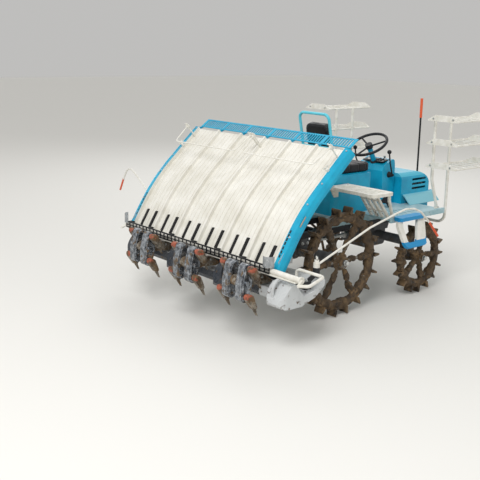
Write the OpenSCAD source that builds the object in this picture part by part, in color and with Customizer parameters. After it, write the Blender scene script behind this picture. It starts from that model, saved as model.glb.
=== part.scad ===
// Riding rice transplanter for six rows.
// X points forward, Y to the machine's left and Z up. The origin lies on the floor,
// midway between the rear wheels.

/* [Running gear] */
// Distance between the front and the rear axle
wheelbase = 1050; // [1000:10:1100]
// Distance between the wheels' centre planes
track = 1200; // [1180:10:1240]
// Rear wheel diameter over the lugs
rear_d = 900; // [860:10:920]
// Front wheel diameter over the lugs
front_d = 650; // [620:10:660]
// Number of lugs on a rear wheel
rear_lugs = 18; // [14:1:20]
// Number of lugs on a front wheel
front_lugs = 16; // [12:1:18]
// Width of a rear lug
rear_lug_w = 90; // [70:5:96]
// Width of a front lug
front_lug_w = 80; // [60:5:90]
// Distance from a kingpin to the wheel's centre plane
kingpin_offset = 105; // [100:5:120]

/* [Chassis] */
// Height of the frame rails' centre line
rail_z = 585; // [575:5:600]
// Side of the square frame rails
rail_s = 50; // [40:5:60]
// Distance between the frame rails' centre lines
rail_gap = 360; // [340:10:380]
// Height of the deck's walking surface
deck_z = 725; // [715:5:740]
// Width of the deck
deck_w = 1250; // [1200:10:1280]
// Height of the rear step plates' walking surface
rear_step_z = 1000; // [980:5:1020]
// Half width of the bonnet
bonnet_half = 235; // [200:5:250]
// Height of the spare racks' lowest shelf
rack_z = 1140; // [1100:10:1160]
// Height from one rack shelf to the next
rack_pitch = 205; // [190:5:220]

/* [Planting unit] */
// Distance between planted rows
row_pitch = 300; // [290:5:310]
// Distance from a planting case to each of its two rows
row_half = 150; // [145:1:155]
// Distance from the rotor shaft to an arm's pivot
rotor_r = 100; // [90:1:104]
// Tilt of the rotors from upright
rotor_tilt = 7.5; // [0:0.5:15]
// Length of the lift links between their pins
link_l = 563; // [540:1:580]
// Length of the cross beam
beam_l = 1960; // [1900:10:2000]

/* [Seedling tray] */
// Inner width of one lane
lane_w = 284; // [270:2:288]
// Height of the lane walls
wall_h = 30; // [20:1:40]
// Thickness of the tray's floor
floor_t = 6; // [4:1:8]
// Slope of the tray at its lower end
slope_low = 59; // [57:1:61]
// Slope of the tray at its upper end
slope_top = 42; // [40:1:44]
// Radius of the bend between the two slopes
slope_r = 1620; // [1500:20:1700]
// Full sideways travel of the tray
tray_travel = 280; // [260:10:300]
// Depth of the slatted extension at the top
grille_d = 108; // [90:2:120]

/* [Hidden] */

// Colours
teal = "#0aa0c4";
white = "#e6e4dc";
pale_blue = "#a9c6cc";
step_blue = "#2a93d5";
black = "#22242a";
steel = "#8d9094";
cast = "#9a9c9e";
rubber = "#33302d";
orange = "#d5532f";
guard_blue = "#5cc9dc";

// Circle resolution
fn_tube = 20;
fn_round = 40;
$fn = 32;

// Running clearances
pin_gap = 0.5;
seat_gap = 0.3;

// Front edge of the deck
deck_front = wheelbase + 330;

// Wheel centres
rear_z = rear_d / 2;
front_z = front_d / 2;
front_axle_z = front_z + 115;
kingpin_y = track / 2 - kingpin_offset;
hub_l = 100;
axle_r = 22;
hub_bolt_r = 36;

bumper_x = wheelbase + 730;

// Lift linkage: fixed pins, and the direction of both links at rest
lower_pin = [-110, 470];
upper_pin = [-70, 850];
link_slope = 5.6;
link_y = 172;
lug_y = 150;
pin_r = 12;
link_vec = link_l * [-cos(link_slope), -sin(link_slope)];
lower_end = lower_pin + link_vec;
upper_end = upper_pin + link_vec;
cylinder_pin = [120, 600];
rod_pin = upper_pin + link_vec / 2 + [0, -66];

// Planting unit
rotor_x = -1100;
rotor_z = 490;
beam_x = -760;
beam_z = 480;
beam_s = 60;
case_y = [row_pitch * 2, 0, -row_pitch * 2];
claw_tip = [75, -140];
guide_x = -930;
guide_z = 570;
guide_r = 20;
guide_l = 1800 + 60 + tray_travel + 20;

// Seedling tray: the path of its upper edge, from the lower end, in the XZ plane
lanes = 6;
tray_w = row_pitch * lanes + 16;
tray_shift = tray_travel / 2;
tray_from = 26;
path_start = [-915, 560];
low_l = 220;
top_l = 425;
bend_start = path_start + low_l * [cos(slope_low), sin(slope_low)];
bend_centre = bend_start + slope_r * [sin(slope_low), -cos(slope_low)];
bend_end = bend_centre + slope_r * [-sin(slope_top), cos(slope_top)];
path_end = bend_end + top_l * [cos(slope_top), sin(slope_top)];

// Seat: its base, and the guard behind it with its bend and its top
seat_z = 1070;
guard_r = 13;
bar_r = 9;
guard_half = 173;
guard_bend = [318, 1300];
guard_top = [262, 1560];
guard_lean = atan2(guard_bend[0] - guard_top[0], guard_top[1] - guard_bend[1]);

// Steering wheel: the middle of its hub's face and its axis
wheel_hub = [wheelbase - 45, 0, 1275];
wheel_tilt = 30;
wheel_axis = [-sin(wheel_tilt), 0, cos(wheel_tilt)];

// Marker arms
marker_pin = [-650, 950, 600];
marker_swing = 72;

// Points of an arc
function arc(c, r, a0, a1, n = 6) =
    [for (i = [0:n]) c + r * [cos(a0 + (a1 - a0) * i / n), sin(a0 + (a1 - a0) * i / n)]];

// Outline of a rectangle from corner p to corner q with round corners
function round_box(p, q, r) = concat(
    arc([q[0] - r, q[1] - r], r, 0, 90), arc([p[0] + r, q[1] - r], r, 90, 180),
    arc([p[0] + r, p[1] + r], r, 180, 270), arc([q[0] - r, p[1] + r], r, 270, 360));

// Point on the straight lower part of the tray's path, s along it and n above it
function low_point(s, n) = path_start + s * [cos(slope_low), sin(slope_low)]
    + n * [-sin(slope_low), cos(slope_low)];

// Point on the straight upper part of the tray's path
function top_point(s, n) = bend_end + s * [cos(slope_top), sin(slope_top)]
    + n * [-sin(slope_top), cos(slope_top)];

// A flat profile in the XZ plane, w thick across the machine and centred on y
module across(y, w) {
    translate([0, y + w / 2, 0]) rotate([90, 0, 0]) linear_extrude(w) children();
}

// A flat profile in the YZ plane, extruded forward from x
module along(x, l) {
    translate([x, 0, 0]) rotate([90, 0, 90]) linear_extrude(l) children();
}

// A round tube from p to q
module tube(p, q, r, fn = fn_tube) {
    d = q - p;
    l = norm(d);
    translate(p) rotate([0, acos(d[2] / l), atan2(d[1], d[0])]) cylinder(h = l, r = r, $fn = fn);
}

// The path of a bent pipe: each corner becomes an arc of radius b in n steps
function unit(v) = v / norm(v);
function corner(p, q, s, b, n) =
    let (u = unit(p - q), v = unit(s - q), a = acos(u * v), t = b / tan(a / 2),
        c = q + unit(u + v) * b / sin(a / 2), e = (q + u * t - c) / b, f = (q + v * t - c) / b,
        w = 180 - a)
    [for (i = [0:n]) c + b * (sin((1 - i / n) * w) * e + sin(i / n * w) * f) / sin(w)];
function bends(p, b, n) = concat([p[0]],
    [for (i = [1:len(p) - 2]) each corner(p[i - 1], p[i], p[i + 1], b, n)], [p[len(p) - 1]]);
function heading(p, i) =
    i == 0 ? unit(p[1] - p[0])
    : i >= len(p) - 1 ? unit(p[len(p) - 1] - p[len(p) - 2])
    : unit(unit(p[i + 1] - p[i]) + unit(p[i] - p[i - 1]));
function level(n, h) = unit(n - (n * h) * h);
function normals(p, i = 0, n = [0.3, 0.5, 0.8]) =
    i == len(p) ? [] : let (m = level(n, heading(p, i))) concat([m], normals(p, i + 1, m));

// A bent pipe through a list of points
module pipe(points, r, bend_r = 40, n = 4, sides = 10) {
    path = len(points) > 2 ? bends(points, bend_r, n) : points;
    nn = normals(path);
    rings = [for (i = [0:len(path) - 1], k = [0:sides - 1])
        let (h = heading(path, i), a = 360 * k / sides)
        path[i] + r * (cos(a) * nn[i] + sin(a) * cross(h, nn[i]))];
    last = (len(path) - 1) * sides;
    polyhedron(rings, concat([[for (k = [0:sides - 1]) k]],
        [[for (k = [0:sides - 1]) last + sides - 1 - k]],
        [for (i = [0:len(path) - 2], k = [0:sides - 1])
            let (a = i * sides + k, b = i * sides + (k + 1) % sides) [a, a + sides, b + sides, b]]));
}

// Two circles joined by their tangents
module link2d(p, q, r1, r2) {
    d = q - p;
    l = norm(d);
    a = atan2(d[1], d[0]);
    b = acos((r1 - r2) / l);
    translate(p) circle(r1);
    translate(q) circle(r2);
    polygon([p + r1 * [cos(a + b), sin(a + b)], q + r2 * [cos(a + b), sin(a + b)],
        q + r2 * [cos(a - b), sin(a - b)], p + r1 * [cos(a - b), sin(a - b)]]);
}

// A pin across the machine at a place in the XZ plane
module cross_pin(at, r, y, l) {
    translate([at[0], y + l / 2, at[1]]) rotate([90, 0, 0]) cylinder(h = l, r = r);
}

module mirror_y() {
    children();
    mirror([0, 1, 0]) children();
}

// Chassis

module frame() color(black) {
    front_x = wheelbase + 430;
    mirror_y() translate([-90, rail_gap / 2 - rail_s / 2, rail_z - rail_s / 2])
        cube([front_x + 90, rail_s, rail_s]);
    for (x = [-90, 150, 560, front_x - rail_s])
        translate([x, -rail_gap / 2, rail_z - rail_s / 2]) cube([rail_s, rail_gap, rail_s]);
    // Clevis and pin of the lift cylinder
    for (side = [-1, 1]) across(side * 34, 12) link2d(cylinder_pin, [175, rail_z], 20, 22);
    cross_pin(cylinder_pin, pin_r, 0, 84);
    // Bumper with the socket of the centre pole
    pipe([[wheelbase + 420, -rail_gap / 2, rail_z], [bumper_x - 80, -250, rail_z], [bumper_x, -170, rail_z],
        [bumper_x, 170, rail_z], [bumper_x - 80, 250, rail_z], [wheelbase + 420, rail_gap / 2, rail_z]], 16);
    translate([bumper_x, 0, rail_z - 20]) cylinder(h = 60, r = 20);
}

// Two plates on the rear cross member, with the upper link's pin
module link_tower() color(black) {
    foot = rail_z + rail_s / 2;
    for (side = [-1, 1]) across(side * 34, 12)
        polygon([[-90, foot], [-40, foot], upper_pin + [26, 0],
            upper_pin + [20, 22], upper_pin + [-20, 22], upper_pin + [-26, 0]]);
    cross_pin(upper_pin, pin_r, 0, 84);
}

module gearbox() color(cast) {
    x = wheelbase;
    axle_z = front_axle_z;
    difference() {
        union() {
            across(0, 230) polygon(round_box([x - 190, 330], [x + 130, 560], 40));
            across(0, 150) polygon(round_box([x - 280, 380], [x + 160, 520], 30));
            for (side = [-1, 1]) {
                translate([x, 0, axle_z]) rotate([-90 * side, 0, 0])
                    cylinder(h = kingpin_y, r = 42, $fn = fn_round);
                translate([x, side * kingpin_y, axle_z - 60]) cylinder(h = 118, r = 46, $fn = fn_round);
            }
        }
        for (side = [-1, 1]) translate([x, side * kingpin_y, axle_z - 61])
            cylinder(h = 90, r = 24 + pin_gap, $fn = fn_round);
    }
    // Hangers to the frame rails
    mirror_y() across(rail_gap / 2, 14)
        polygon([[x - 150, rail_z - rail_s / 2], [x + 90, rail_z - rail_s / 2],
            [x + 70, 500], [x - 120, 500]]);
    mirror_y() translate([x - 80, 100, 500]) cube([110, rail_gap / 2 - 94, 24]);
}

module rear_axle() color(cast) {
    for (side = [-1, 1]) {
        translate([0, side * 10, rear_z]) rotate([-90 * side, 0, 0])
            cylinder(h = track / 2 - 105, r = 48, $fn = fn_round);
        translate([0, side * (track / 2 - 100), rear_z]) rotate([-90 * side, 0, 0])
            cylinder(h = 35, r = 66, $fn = fn_round);
        translate([0, side * (track / 2 - 70), rear_z]) rotate([-90 * side, 0, 0])
            cylinder(h = hub_l + 34, r = axle_r, $fn = fn_round);
        across(side * lug_y, 16) link2d([0, rear_z], lower_pin, 58, 28);
        cross_pin(lower_pin, pin_r, side * (lug_y + 20), 60);
        // Saddle under the frame rail
        translate([-45, side * rail_gap / 2 - 22, rear_z]) cube([90, 44, rail_z - rail_s / 2 - rear_z]);
    }
    rotate([90, 0, 0]) translate([0, rear_z, -95]) cylinder(h = 190, r = 88, $fn = fn_round);
    translate([60, 0, rear_z + 5]) rotate([0, 90, 0]) cylinder(h = 90, r = 46, $fn = fn_round);
}

module drive_shaft() color(steel) {
    tube([150, 0, rear_z + 5], [wheelbase - 280, 0, rear_z + 5], 17);
    for (x = [150, wheelbase - 330])
        translate([x, 0, rear_z + 5]) rotate([0, 90, 0]) cylinder(h = 50, r = 30);
}

module engine() color(steel) {
    translate([wheelbase + 195, -150, rail_z + rail_s / 2]) cube([360, 300, 290]);
}

// Bonnet: a thin shell, open below, with slots in its sides and nose
module bonnet() {
    x0 = wheelbase + 180;
    l = 425;
    t = 5;
    top = 1010;
    low = 645;
    r = 70;
    module skin(d) {
        intersection() {
            along(x0 + d, l - 2 * d) polygon(concat(
                [[-bonnet_half + d, low - 1], [bonnet_half - d, low - 1]],
                arc([bonnet_half - r, top - r], r - d, 0, 90),
                arc([r - bonnet_half, top - r], r - d, 90, 180)));
            across(0, 2 * bonnet_half + 10) polygon(concat([[x0 + d, low - d], [x0 + d, top - d]],
                arc([x0 + l - 170, top - 190], 190 - d, 80, 10), [[x0 + l - d, low - d]]));
        }
    }
    color(teal) difference() {
        skin(0);
        skin(t);
        // The rear part stands on the deck
        translate([x0 - 10, -bonnet_half - 10, low - 10])
            cube([deck_front - x0 + 10, 2 * bonnet_half + 20, deck_z - low + 10]);
        for (i = [0:2]) across(0, 2 * bonnet_half + 20)
            polygon(round_box([x0 + 160, deck_z + 122 + i * 42], [x0 + 375, deck_z + 142 + i * 42], 9));
        along(x0 + l - 60, 80) polygon(round_box([-120, low + 80], [120, low + 170], 20));
    }
    color(teal) mirror_y() along(x0 + 20, l + 30) polygon([[bonnet_half - 4, deck_z + 92],
        [bonnet_half + 30, deck_z + 74], [bonnet_half + 95, deck_z + 4], [bonnet_half + 95, deck_z],
        [bonnet_half + 88, deck_z], [bonnet_half + 26, deck_z + 66], [bonnet_half - 4, deck_z + 84]]);
}

// Dash: a moulded column cover and the steering column
module dash() color(teal) {
    x0 = wheelbase - 20;
    across(0, 300) polygon(concat([[x0 + 30, deck_z], [x0 + 195, deck_z], [x0 + 195, 1075]],
        arc([x0 + 160, 1110], 30, 20, 110), [[x0 + 40, 1090], [x0 + 10, 1040]]));
    foot = wheel_hub - 39 * wheel_axis;
    tube(foot - 200 * wheel_axis, foot, 24);
}

// Deck: a plate with rolled side edges, narrow between the rear wheels
module deck() color(pale_blue) {
    x0 = 250;
    x_wide = 600;
    t = 16;
    difference() {
        union() {
            translate([0, 0, deck_z - t]) linear_extrude(t) {
                polygon(round_box([x_wide, -deck_w / 2], [deck_front, deck_w / 2], 60));
                polygon(round_box([x0, -265], [x_wide + 100, 265], 40));
            }
            mirror_y() translate([0, deck_w / 2 - 26, deck_z - 34]) linear_extrude(46)
                polygon(round_box([x_wide, 0], [deck_front, 26], 12));
            // Bearers on the frame rails
            mirror_y() translate([x0 + 40, rail_gap / 2 - 20, rail_z + rail_s / 2])
                cube([deck_front - x0 - 80, 40, deck_z - t - rail_z - rail_s / 2]);
        }
        // Room for the engine
        translate([wheelbase + 190, -160, rail_z]) cube([400, 320, 200]);
        // Drain slots
        for (side = [-1, 1], x = [660:70:wheelbase + 60])
            translate([x, side * 450, deck_z - 40]) linear_extrude(80)
                polygon(round_box([-12, -90], [12, 90], 11));
    }
}

// Side step: a tread beside the deck and a flat loop below it that leans outwards
module side_step(side) {
    y = deck_w / 2 + 45;
    lean = 31;
    outer = [[624, 0], [592, 45], [586, 205], [598, 238], [630, 252], [845, 252], [872, 240], [882, 212],
        [955, 60], [984, 0]];
    inner = [[676, 10], [652, 60], [640, 190], [652, 206], [748, 206], [766, 192], [850, 60], [884, 10]];
    mirror([0, side > 0 ? 0 : 1, 0]) {
        color(step_blue) translate([0, y - 45, deck_z - 12]) linear_extrude(32)
            polygon(round_box([628, 0], [950, 90], 24));
        color(white) translate([0, y + 4, deck_z - 6]) rotate([lean, 0, 0]) translate([0, 14, 0])
            rotate([90, 0, 0]) linear_extrude(28) mirror([0, 1]) difference() {
                polygon(outer);
                polygon(inner);
            }
    }
}

module step_left() side_step(1);
module step_right() side_step(-1);

// Rear step: a plate above the rear wheel and a slatted ramp down to the deck
module rear_step(side) color(white) {
    y0 = 268;
    y1 = 772;
    difference() {
        translate([0, 0, rear_step_z - 26]) linear_extrude(26) mirror([0, side > 0 ? 0 : 1, 0])
            polygon(round_box([178, y0], [436, y1], 34));
        for (i = [0:3]) mirror([0, side > 0 ? 0 : 1, 0]) translate([0, 0, rear_step_z - 5]) linear_extrude(10)
            polygon(round_box([226 + i * 44, y0 + 60], [242 + i * 44, y1 - 60], 7));
    }
    ramp_top = [402, rear_step_z - 26];
    for (i = [0:3]) across(side * (400 + i * 60), 26)
        polygon([ramp_top, ramp_top + [26, 0], [632, deck_z], [606, deck_z]]);
    for (k = [0.3, 0.72]) {
        at = ramp_top + k * ([606, deck_z] - ramp_top);
        across(side * 490, 200) polygon([at + [2, 2], at + [24, 2], at + [30, -12], at + [10, -12]]);
    }
    pipe([[412, side * 738, rear_step_z - 20], [412, side * 738, rear_step_z - 70],
        [635, side * (deck_w / 2 - 18), deck_z + 28]], 14, 30);
    translate([620, side * (deck_w / 2 - 18) - 15, deck_z + 12 + seat_gap]) cube([30, 30, 28]);
    across(side * 280, 10) polygon([[200, rear_step_z - 26], [300, rear_step_z - 26],
        [300, rear_step_z - 100], [250, rear_step_z - 100]]);
}

module rear_step_left() rear_step(1);
module rear_step_right() rear_step(-1);

// Seat pedestal: a moulded cover over the frame
module pedestal() color(teal) {
    intersection() {
        across(0, 520) polygon(concat([[270, deck_z], [780, deck_z]],
            arc([750, seat_z - 30], 30, 0, 90), arc([320, seat_z - 50], 50, 90, 180)));
        translate([0, 0, 500]) linear_extrude(700) polygon(round_box([265, -255], [790, 255], 60));
    }
}

module seat_cushion() color(black) {
    translate([0, 0, seat_z + seat_gap]) linear_extrude(75)
        polygon(round_box([415, -215], [830, 215], 70));
}

// The back rests on the guard's cross bar
module seat_back() color(black) {
    translate([guard_bend[0], 0, guard_bend[1]]) rotate([0, -guard_lean, 0])
        translate([bar_r + seat_gap, 0, -140]) along(0, 62) polygon(round_box([-142, 0], [142, 350], 60));
}

module seat_guard() color(guard_blue) {
    half = [for (y = [-1, 1]) y * guard_half];
    x = guard_bend[0];
    pipe([[x + 10, half[0], seat_z], [x + 10, half[0], seat_z + 80], [x, half[0], guard_bend[1]],
        [guard_top[0], half[0], guard_top[1]], [guard_top[0] - 6, half[0] + 34, guard_top[1] + 30],
        [guard_top[0] - 6, half[1] - 34, guard_top[1] + 30], [guard_top[0], half[1], guard_top[1]],
        [x, half[1], guard_bend[1]], [x + 10, half[1], seat_z + 80], [x + 10, half[1], seat_z]],
        guard_r, 45, 4);
    tube([x, half[0], guard_bend[1]], [x, half[1], guard_bend[1]], bar_r);
}

// Spare seedling rack: three shelves on two posts
module rack(side) {
    x0 = wheelbase + 40;
    x1 = x0 + 620;
    y0 = 590;
    y1 = 890;
    color(white) {
        pipe([[wheelbase + 290, side * 560, deck_z + 8], [wheelbase + 150, side * 585, 1010],
            [wheelbase + 150, side * 585, rack_z + 2 * rack_pitch]], 14, 60);
        translate([wheelbase + 290, side * 560, deck_z]) cylinder(h = 14, r = 26);
        pipe([[wheelbase + 390, side * (rail_gap / 2 + rail_s / 2), rail_z],
            [wheelbase + 390, side * 585, rail_z], [wheelbase + 390, side * 585, rack_z + 2 * rack_pitch]], 14, 80);
        for (k = [0:2]) {
            z = rack_z + k * rack_pitch;
            for (y = [y0, y1]) tube([x0, side * y, z], [x1, side * y, z], 8);
            for (x = [x0 + 90 : 105 : x1 - 80]) tube([x, side * y0, z], [x, side * y1, z], 5);
            for (x = [x0, x1]) along(x - 4, 8) polygon([[side * (y0 - 8), z - 8], [side * (y1 + 8), z - 8],
                [side * (y1 + 8), z + 4], [side * (y1 - 70), z + 46], [side * (y0 + 70), z + 46],
                [side * (y0 - 8), z + 4]]);
        }
    }
}

module rack_left() rack(1);
module rack_right() rack(-1);

module centre_pole() {
    color(black) tube([bumper_x, 0, rail_z + 40], [bumper_x, 0, 1490], 9);
    color(orange) tube([bumper_x, 0, 1490], [bumper_x, 0, 1680], 13);
}

module levers() color(black) mirror_y() {
    x = wheelbase + 90;
    pipe([[x, 150, 1000], [x, 190, 1000], [x - 60, 205, 1120], [x - 80, 205, 1215]], 7, 20);
    translate([x - 80, 205, 1222]) sphere(r = 20);
}

// Steering

module steering_wheel() color(black) {
    translate(wheel_hub) rotate([0, -wheel_tilt, 0]) {
        rotate_extrude($fn = 48) translate([175, 0]) circle(r = 13, $fn = 16);
        for (a = [0:120:240]) rotate([0, 0, a + 60]) tube([20, 0, -20], [172, 0, 0], 8);
        translate([0, 0, -38]) cylinder(h = 40, r = 34);
    }
}

module knuckle(side) color(cast) {
    y = side * kingpin_y;
    top = front_axle_z - 60 - seat_gap;
    translate([wheelbase, y, 0]) {
        translate([0, 0, front_z - 46]) cylinder(h = top - front_z + 46, r = 44, $fn = fn_round);
        translate([0, 0, top - 1]) cylinder(h = 80, r = 24, $fn = fn_round);
    }
    translate([wheelbase, y, front_z]) rotate([-90 * side, 0, 0])
        cylinder(h = kingpin_offset + 70, r = axle_r, $fn = fn_round);
    translate([wheelbase - 150, y - 12, front_z + 28]) cube([130, 24, 16]);
}

module knuckle_left() knuckle(1);
module knuckle_right() knuckle(-1);

// Wheels

// Rim: hub, spokes and a tube ring
module rim(side, x, z, ring_r, spokes, hub_r) color(steel) {
    translate([x, side * track / 2, z]) rotate([90, 0, 0]) {
        difference() {
            union() {
                translate([0, 0, -hub_l / 2]) cylinder(h = hub_l, r = hub_r, $fn = fn_round);
                cylinder(h = 14, r = hub_r + 26, center = true, $fn = fn_round);
                for (i = [0:spokes - 1]) rotate([0, 0, 360 * i / spokes])
                    rotate([0, 90, 0]) translate([0, 0, hub_r - 5]) cylinder(h = ring_r - hub_r + 5, r = 13);
            }
            translate([0, 0, -hub_l]) cylinder(h = 2 * hub_l, r = axle_r + pin_gap, $fn = fn_round);
            // Four bolt holes in the hub's outer face
            for (i = [0:3]) rotate([0, 0, 45 + 90 * i])
                translate([hub_bolt_r, 0, -side * hub_l / 2]) cylinder(h = 50, r = 4.5, center = true);
        }
        rotate_extrude($fn = 64) translate([ring_r, 0]) circle(r = 18, $fn = 16);
    }
}

// Tyre: a solid rubber band with paddle lugs set in turn to each side
module tyre(side, x, z, d, lugs, lug_w, ring_r) color(rubber) {
    band = d / 2 - 48;
    translate([x, side * track / 2, z]) rotate([90, 0, 0]) {
        rotate_extrude($fn = 64) polygon(concat([[band - 6, -26], [band, -20], [band, 20],
            [band - 6, 26]], arc([ring_r, 0], 18 + seat_gap, 60, -60, 8)));
        for (i = [0:lugs - 1]) rotate([0, 0, 360 * i / lugs]) translate([0, 0, (i % 2 * 2 - 1) * 4 - lug_w / 2])
            linear_extrude(lug_w) polygon([[band - 10, -15], [d / 2 - 6, -8], [d / 2, -3],
                [d / 2, 3], [d / 2 - 6, 8], [band - 10, 15]]);
    }
}

module front_rim_left() rim(1, wheelbase, front_z, front_d / 2 - 90, 5, 40);
module front_rim_right() rim(-1, wheelbase, front_z, front_d / 2 - 90, 5, 40);
module rear_rim_left() rim(1, 0, rear_z, rear_d / 2 - 100, 6, 48);
module rear_rim_right() rim(-1, 0, rear_z, rear_d / 2 - 100, 6, 48);
module front_tyre_left() tyre(1, wheelbase, front_z, front_d, front_lugs, front_lug_w, front_d / 2 - 90);
module front_tyre_right() tyre(-1, wheelbase, front_z, front_d, front_lugs, front_lug_w, front_d / 2 - 90);
module rear_tyre_left() tyre(1, 0, rear_z, rear_d, rear_lugs, rear_lug_w, rear_d / 2 - 100);
module rear_tyre_right() tyre(-1, 0, rear_z, rear_d, rear_lugs, rear_lug_w, rear_d / 2 - 100);

// Lift linkage

module lower_links() color(black) {
    difference() {
        union() {
            mirror_y() across(link_y, 20) link2d(lower_pin, lower_end, 24, 24);
            cross_pin(lower_pin + link_vec * 0.55, 17, 0, 2 * link_y);
        }
        mirror_y() cross_pin(lower_pin, pin_r + pin_gap, link_y, 40);
        mirror_y() cross_pin(lower_end, pin_r + pin_gap, link_y, 40);
    }
}

module upper_link() color(black) {
    difference() {
        union() {
            across(0, 44) link2d(upper_pin, upper_end, 24, 24);
            for (side = [-1, 1]) across(side * 28, 12) link2d(upper_pin + link_vec / 2, rod_pin, 34, 18);
        }
        cross_pin(upper_pin, pin_r + pin_gap, 0, 90);
        cross_pin(upper_end, pin_r + pin_gap, 0, 90);
    }
    cross_pin(rod_pin, 9, 0, 66);
}

rod_dir = (rod_pin - cylinder_pin) / norm(rod_pin - cylinder_pin);

module lift_barrel() color(black) {
    start = cylinder_pin + 22 * rod_dir;
    end = cylinder_pin + 330 * rod_dir;
    difference() {
        union() {
            tube([start[0], 0, start[1]], [end[0], 0, end[1]], 23);
            across(0, 44) circle_at(cylinder_pin, 24);
        }
        cross_pin(cylinder_pin, pin_r + pin_gap, 0, 90);
        bore = cylinder_pin + 60 * rod_dir;
        tube([bore[0], 0, bore[1]], [end[0] + rod_dir[0] * 10, 0, end[1] + rod_dir[1] * 10], 12 + pin_gap);
    }
}

module circle_at(p, r) translate(p) circle(r);

// Rod, with a slotted eye that lets the link's pin drift
module lift_rod() color(steel) {
    start = cylinder_pin + 100 * rod_dir;
    end = rod_pin - 34 * rod_dir;
    tube([start[0], 0, start[1]], [end[0], 0, end[1]], 12);
    difference() {
        across(0, 34) link2d(rod_pin - 14 * rod_dir, rod_pin + 14 * rod_dir, 26, 26);
        across(0, 60) link2d(rod_pin - 14 * rod_dir, rod_pin + 14 * rod_dir, 14, 14);
    }
}

// Planting unit

module planting_frame() color(black) {
    roller = top_point(30, -77.5);
    translate([beam_x - beam_s / 2, -beam_l / 2, beam_z - beam_s / 2]) cube([beam_s, beam_l, beam_s]);
    // Lugs and pins of the lower links
    mirror_y() across(lug_y, 16) link2d(lower_end, [beam_x + 10, beam_z], 28, 38);
    mirror_y() cross_pin(lower_end, pin_r, lug_y + 18, 52);
    // Mast and pin of the upper link
    for (side = [-1, 1]) across(side * 34, 12)
        polygon([[beam_x - 30, beam_z + 20], [beam_x + 30, beam_z + 20], upper_end + [26, -4],
            upper_end + [16, 24], upper_end + [-16, 24], upper_end + [-26, 4]]);
    cross_pin(upper_end, pin_r, 0, 84);
    // Stays and roller bar under the tray
    mirror_y() tube([beam_x, 450, beam_z + 10], [roller[0], 450, roller[1]], 15);
    tube([roller[0], -520, roller[1]], [roller[0], 520, roller[1]], 17);
    // Brackets of the guide rail
    for (y = case_y, k = [-90, 90]) across(y + k, 12)
        polygon([[guide_x - 8, guide_z - 28], [guide_x + 20, guide_z - 28], [beam_x - 25, beam_z + 26],
            [beam_x - 25, beam_z - 24], [beam_x - 80, beam_z - 10]]);
    // Pivots of the marker arms and their stays
    for (side = [-1, 1]) {
        translate([marker_pin[0], side * marker_pin[1], 520]) cylinder(h = 70 - seat_gap, r = 26);
        translate([marker_pin[0], side * marker_pin[1], 588]) cylinder(h = 60, r = 11);
        tube([beam_x + 10, side * (beam_l / 2 - 30), beam_z + 10], [marker_pin[0], side * marker_pin[1], 545], 18);
    }
}

module planting_cases() color(cast) {
    for (y = case_y) difference() {
        union() {
            across(y, 60) link2d([beam_x - beam_s / 2 - 42, beam_z - 12], [rotor_x, rotor_z], 40, 40);
            translate([beam_x - beam_s / 2 - 24, y - 40, beam_z - 45]) cube([24, 80, 90]);
            cross_pin([rotor_x, rotor_z], 34, y, 70);
        }
        cross_pin([rotor_x, rotor_z], 15 + pin_gap, y, 100);
    }
}

// Guide rail: the fixed tube that the tray slides on, its wear strip and the end hoops
module guide_rail() color(white) {
    tube([guide_x, -guide_l / 2, guide_z], [guide_x, guide_l / 2, guide_z], guide_r, 24);
    translate([guide_x - 24, -guide_l / 2 + 40, guide_z - guide_r - 8])
        cube([44, guide_l - 80, 10]);
    for (side = [-1, 1]) {
        cross_pin([guide_x, guide_z], guide_r + 7, side * (guide_l / 2 - 6), 12);
        pipe([[beam_x, side * 860, beam_z + beam_s / 2], [beam_x, side * 860, 576], [-735, side * 1104, 568],
            [-930, side * 1152, 547], [-986, side * 1092, 545]], 12, 30);
        tube([guide_x, side * (guide_l / 2 - 2), guide_z], [-981, side * 1096, 546], 10);
    }
}

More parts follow.
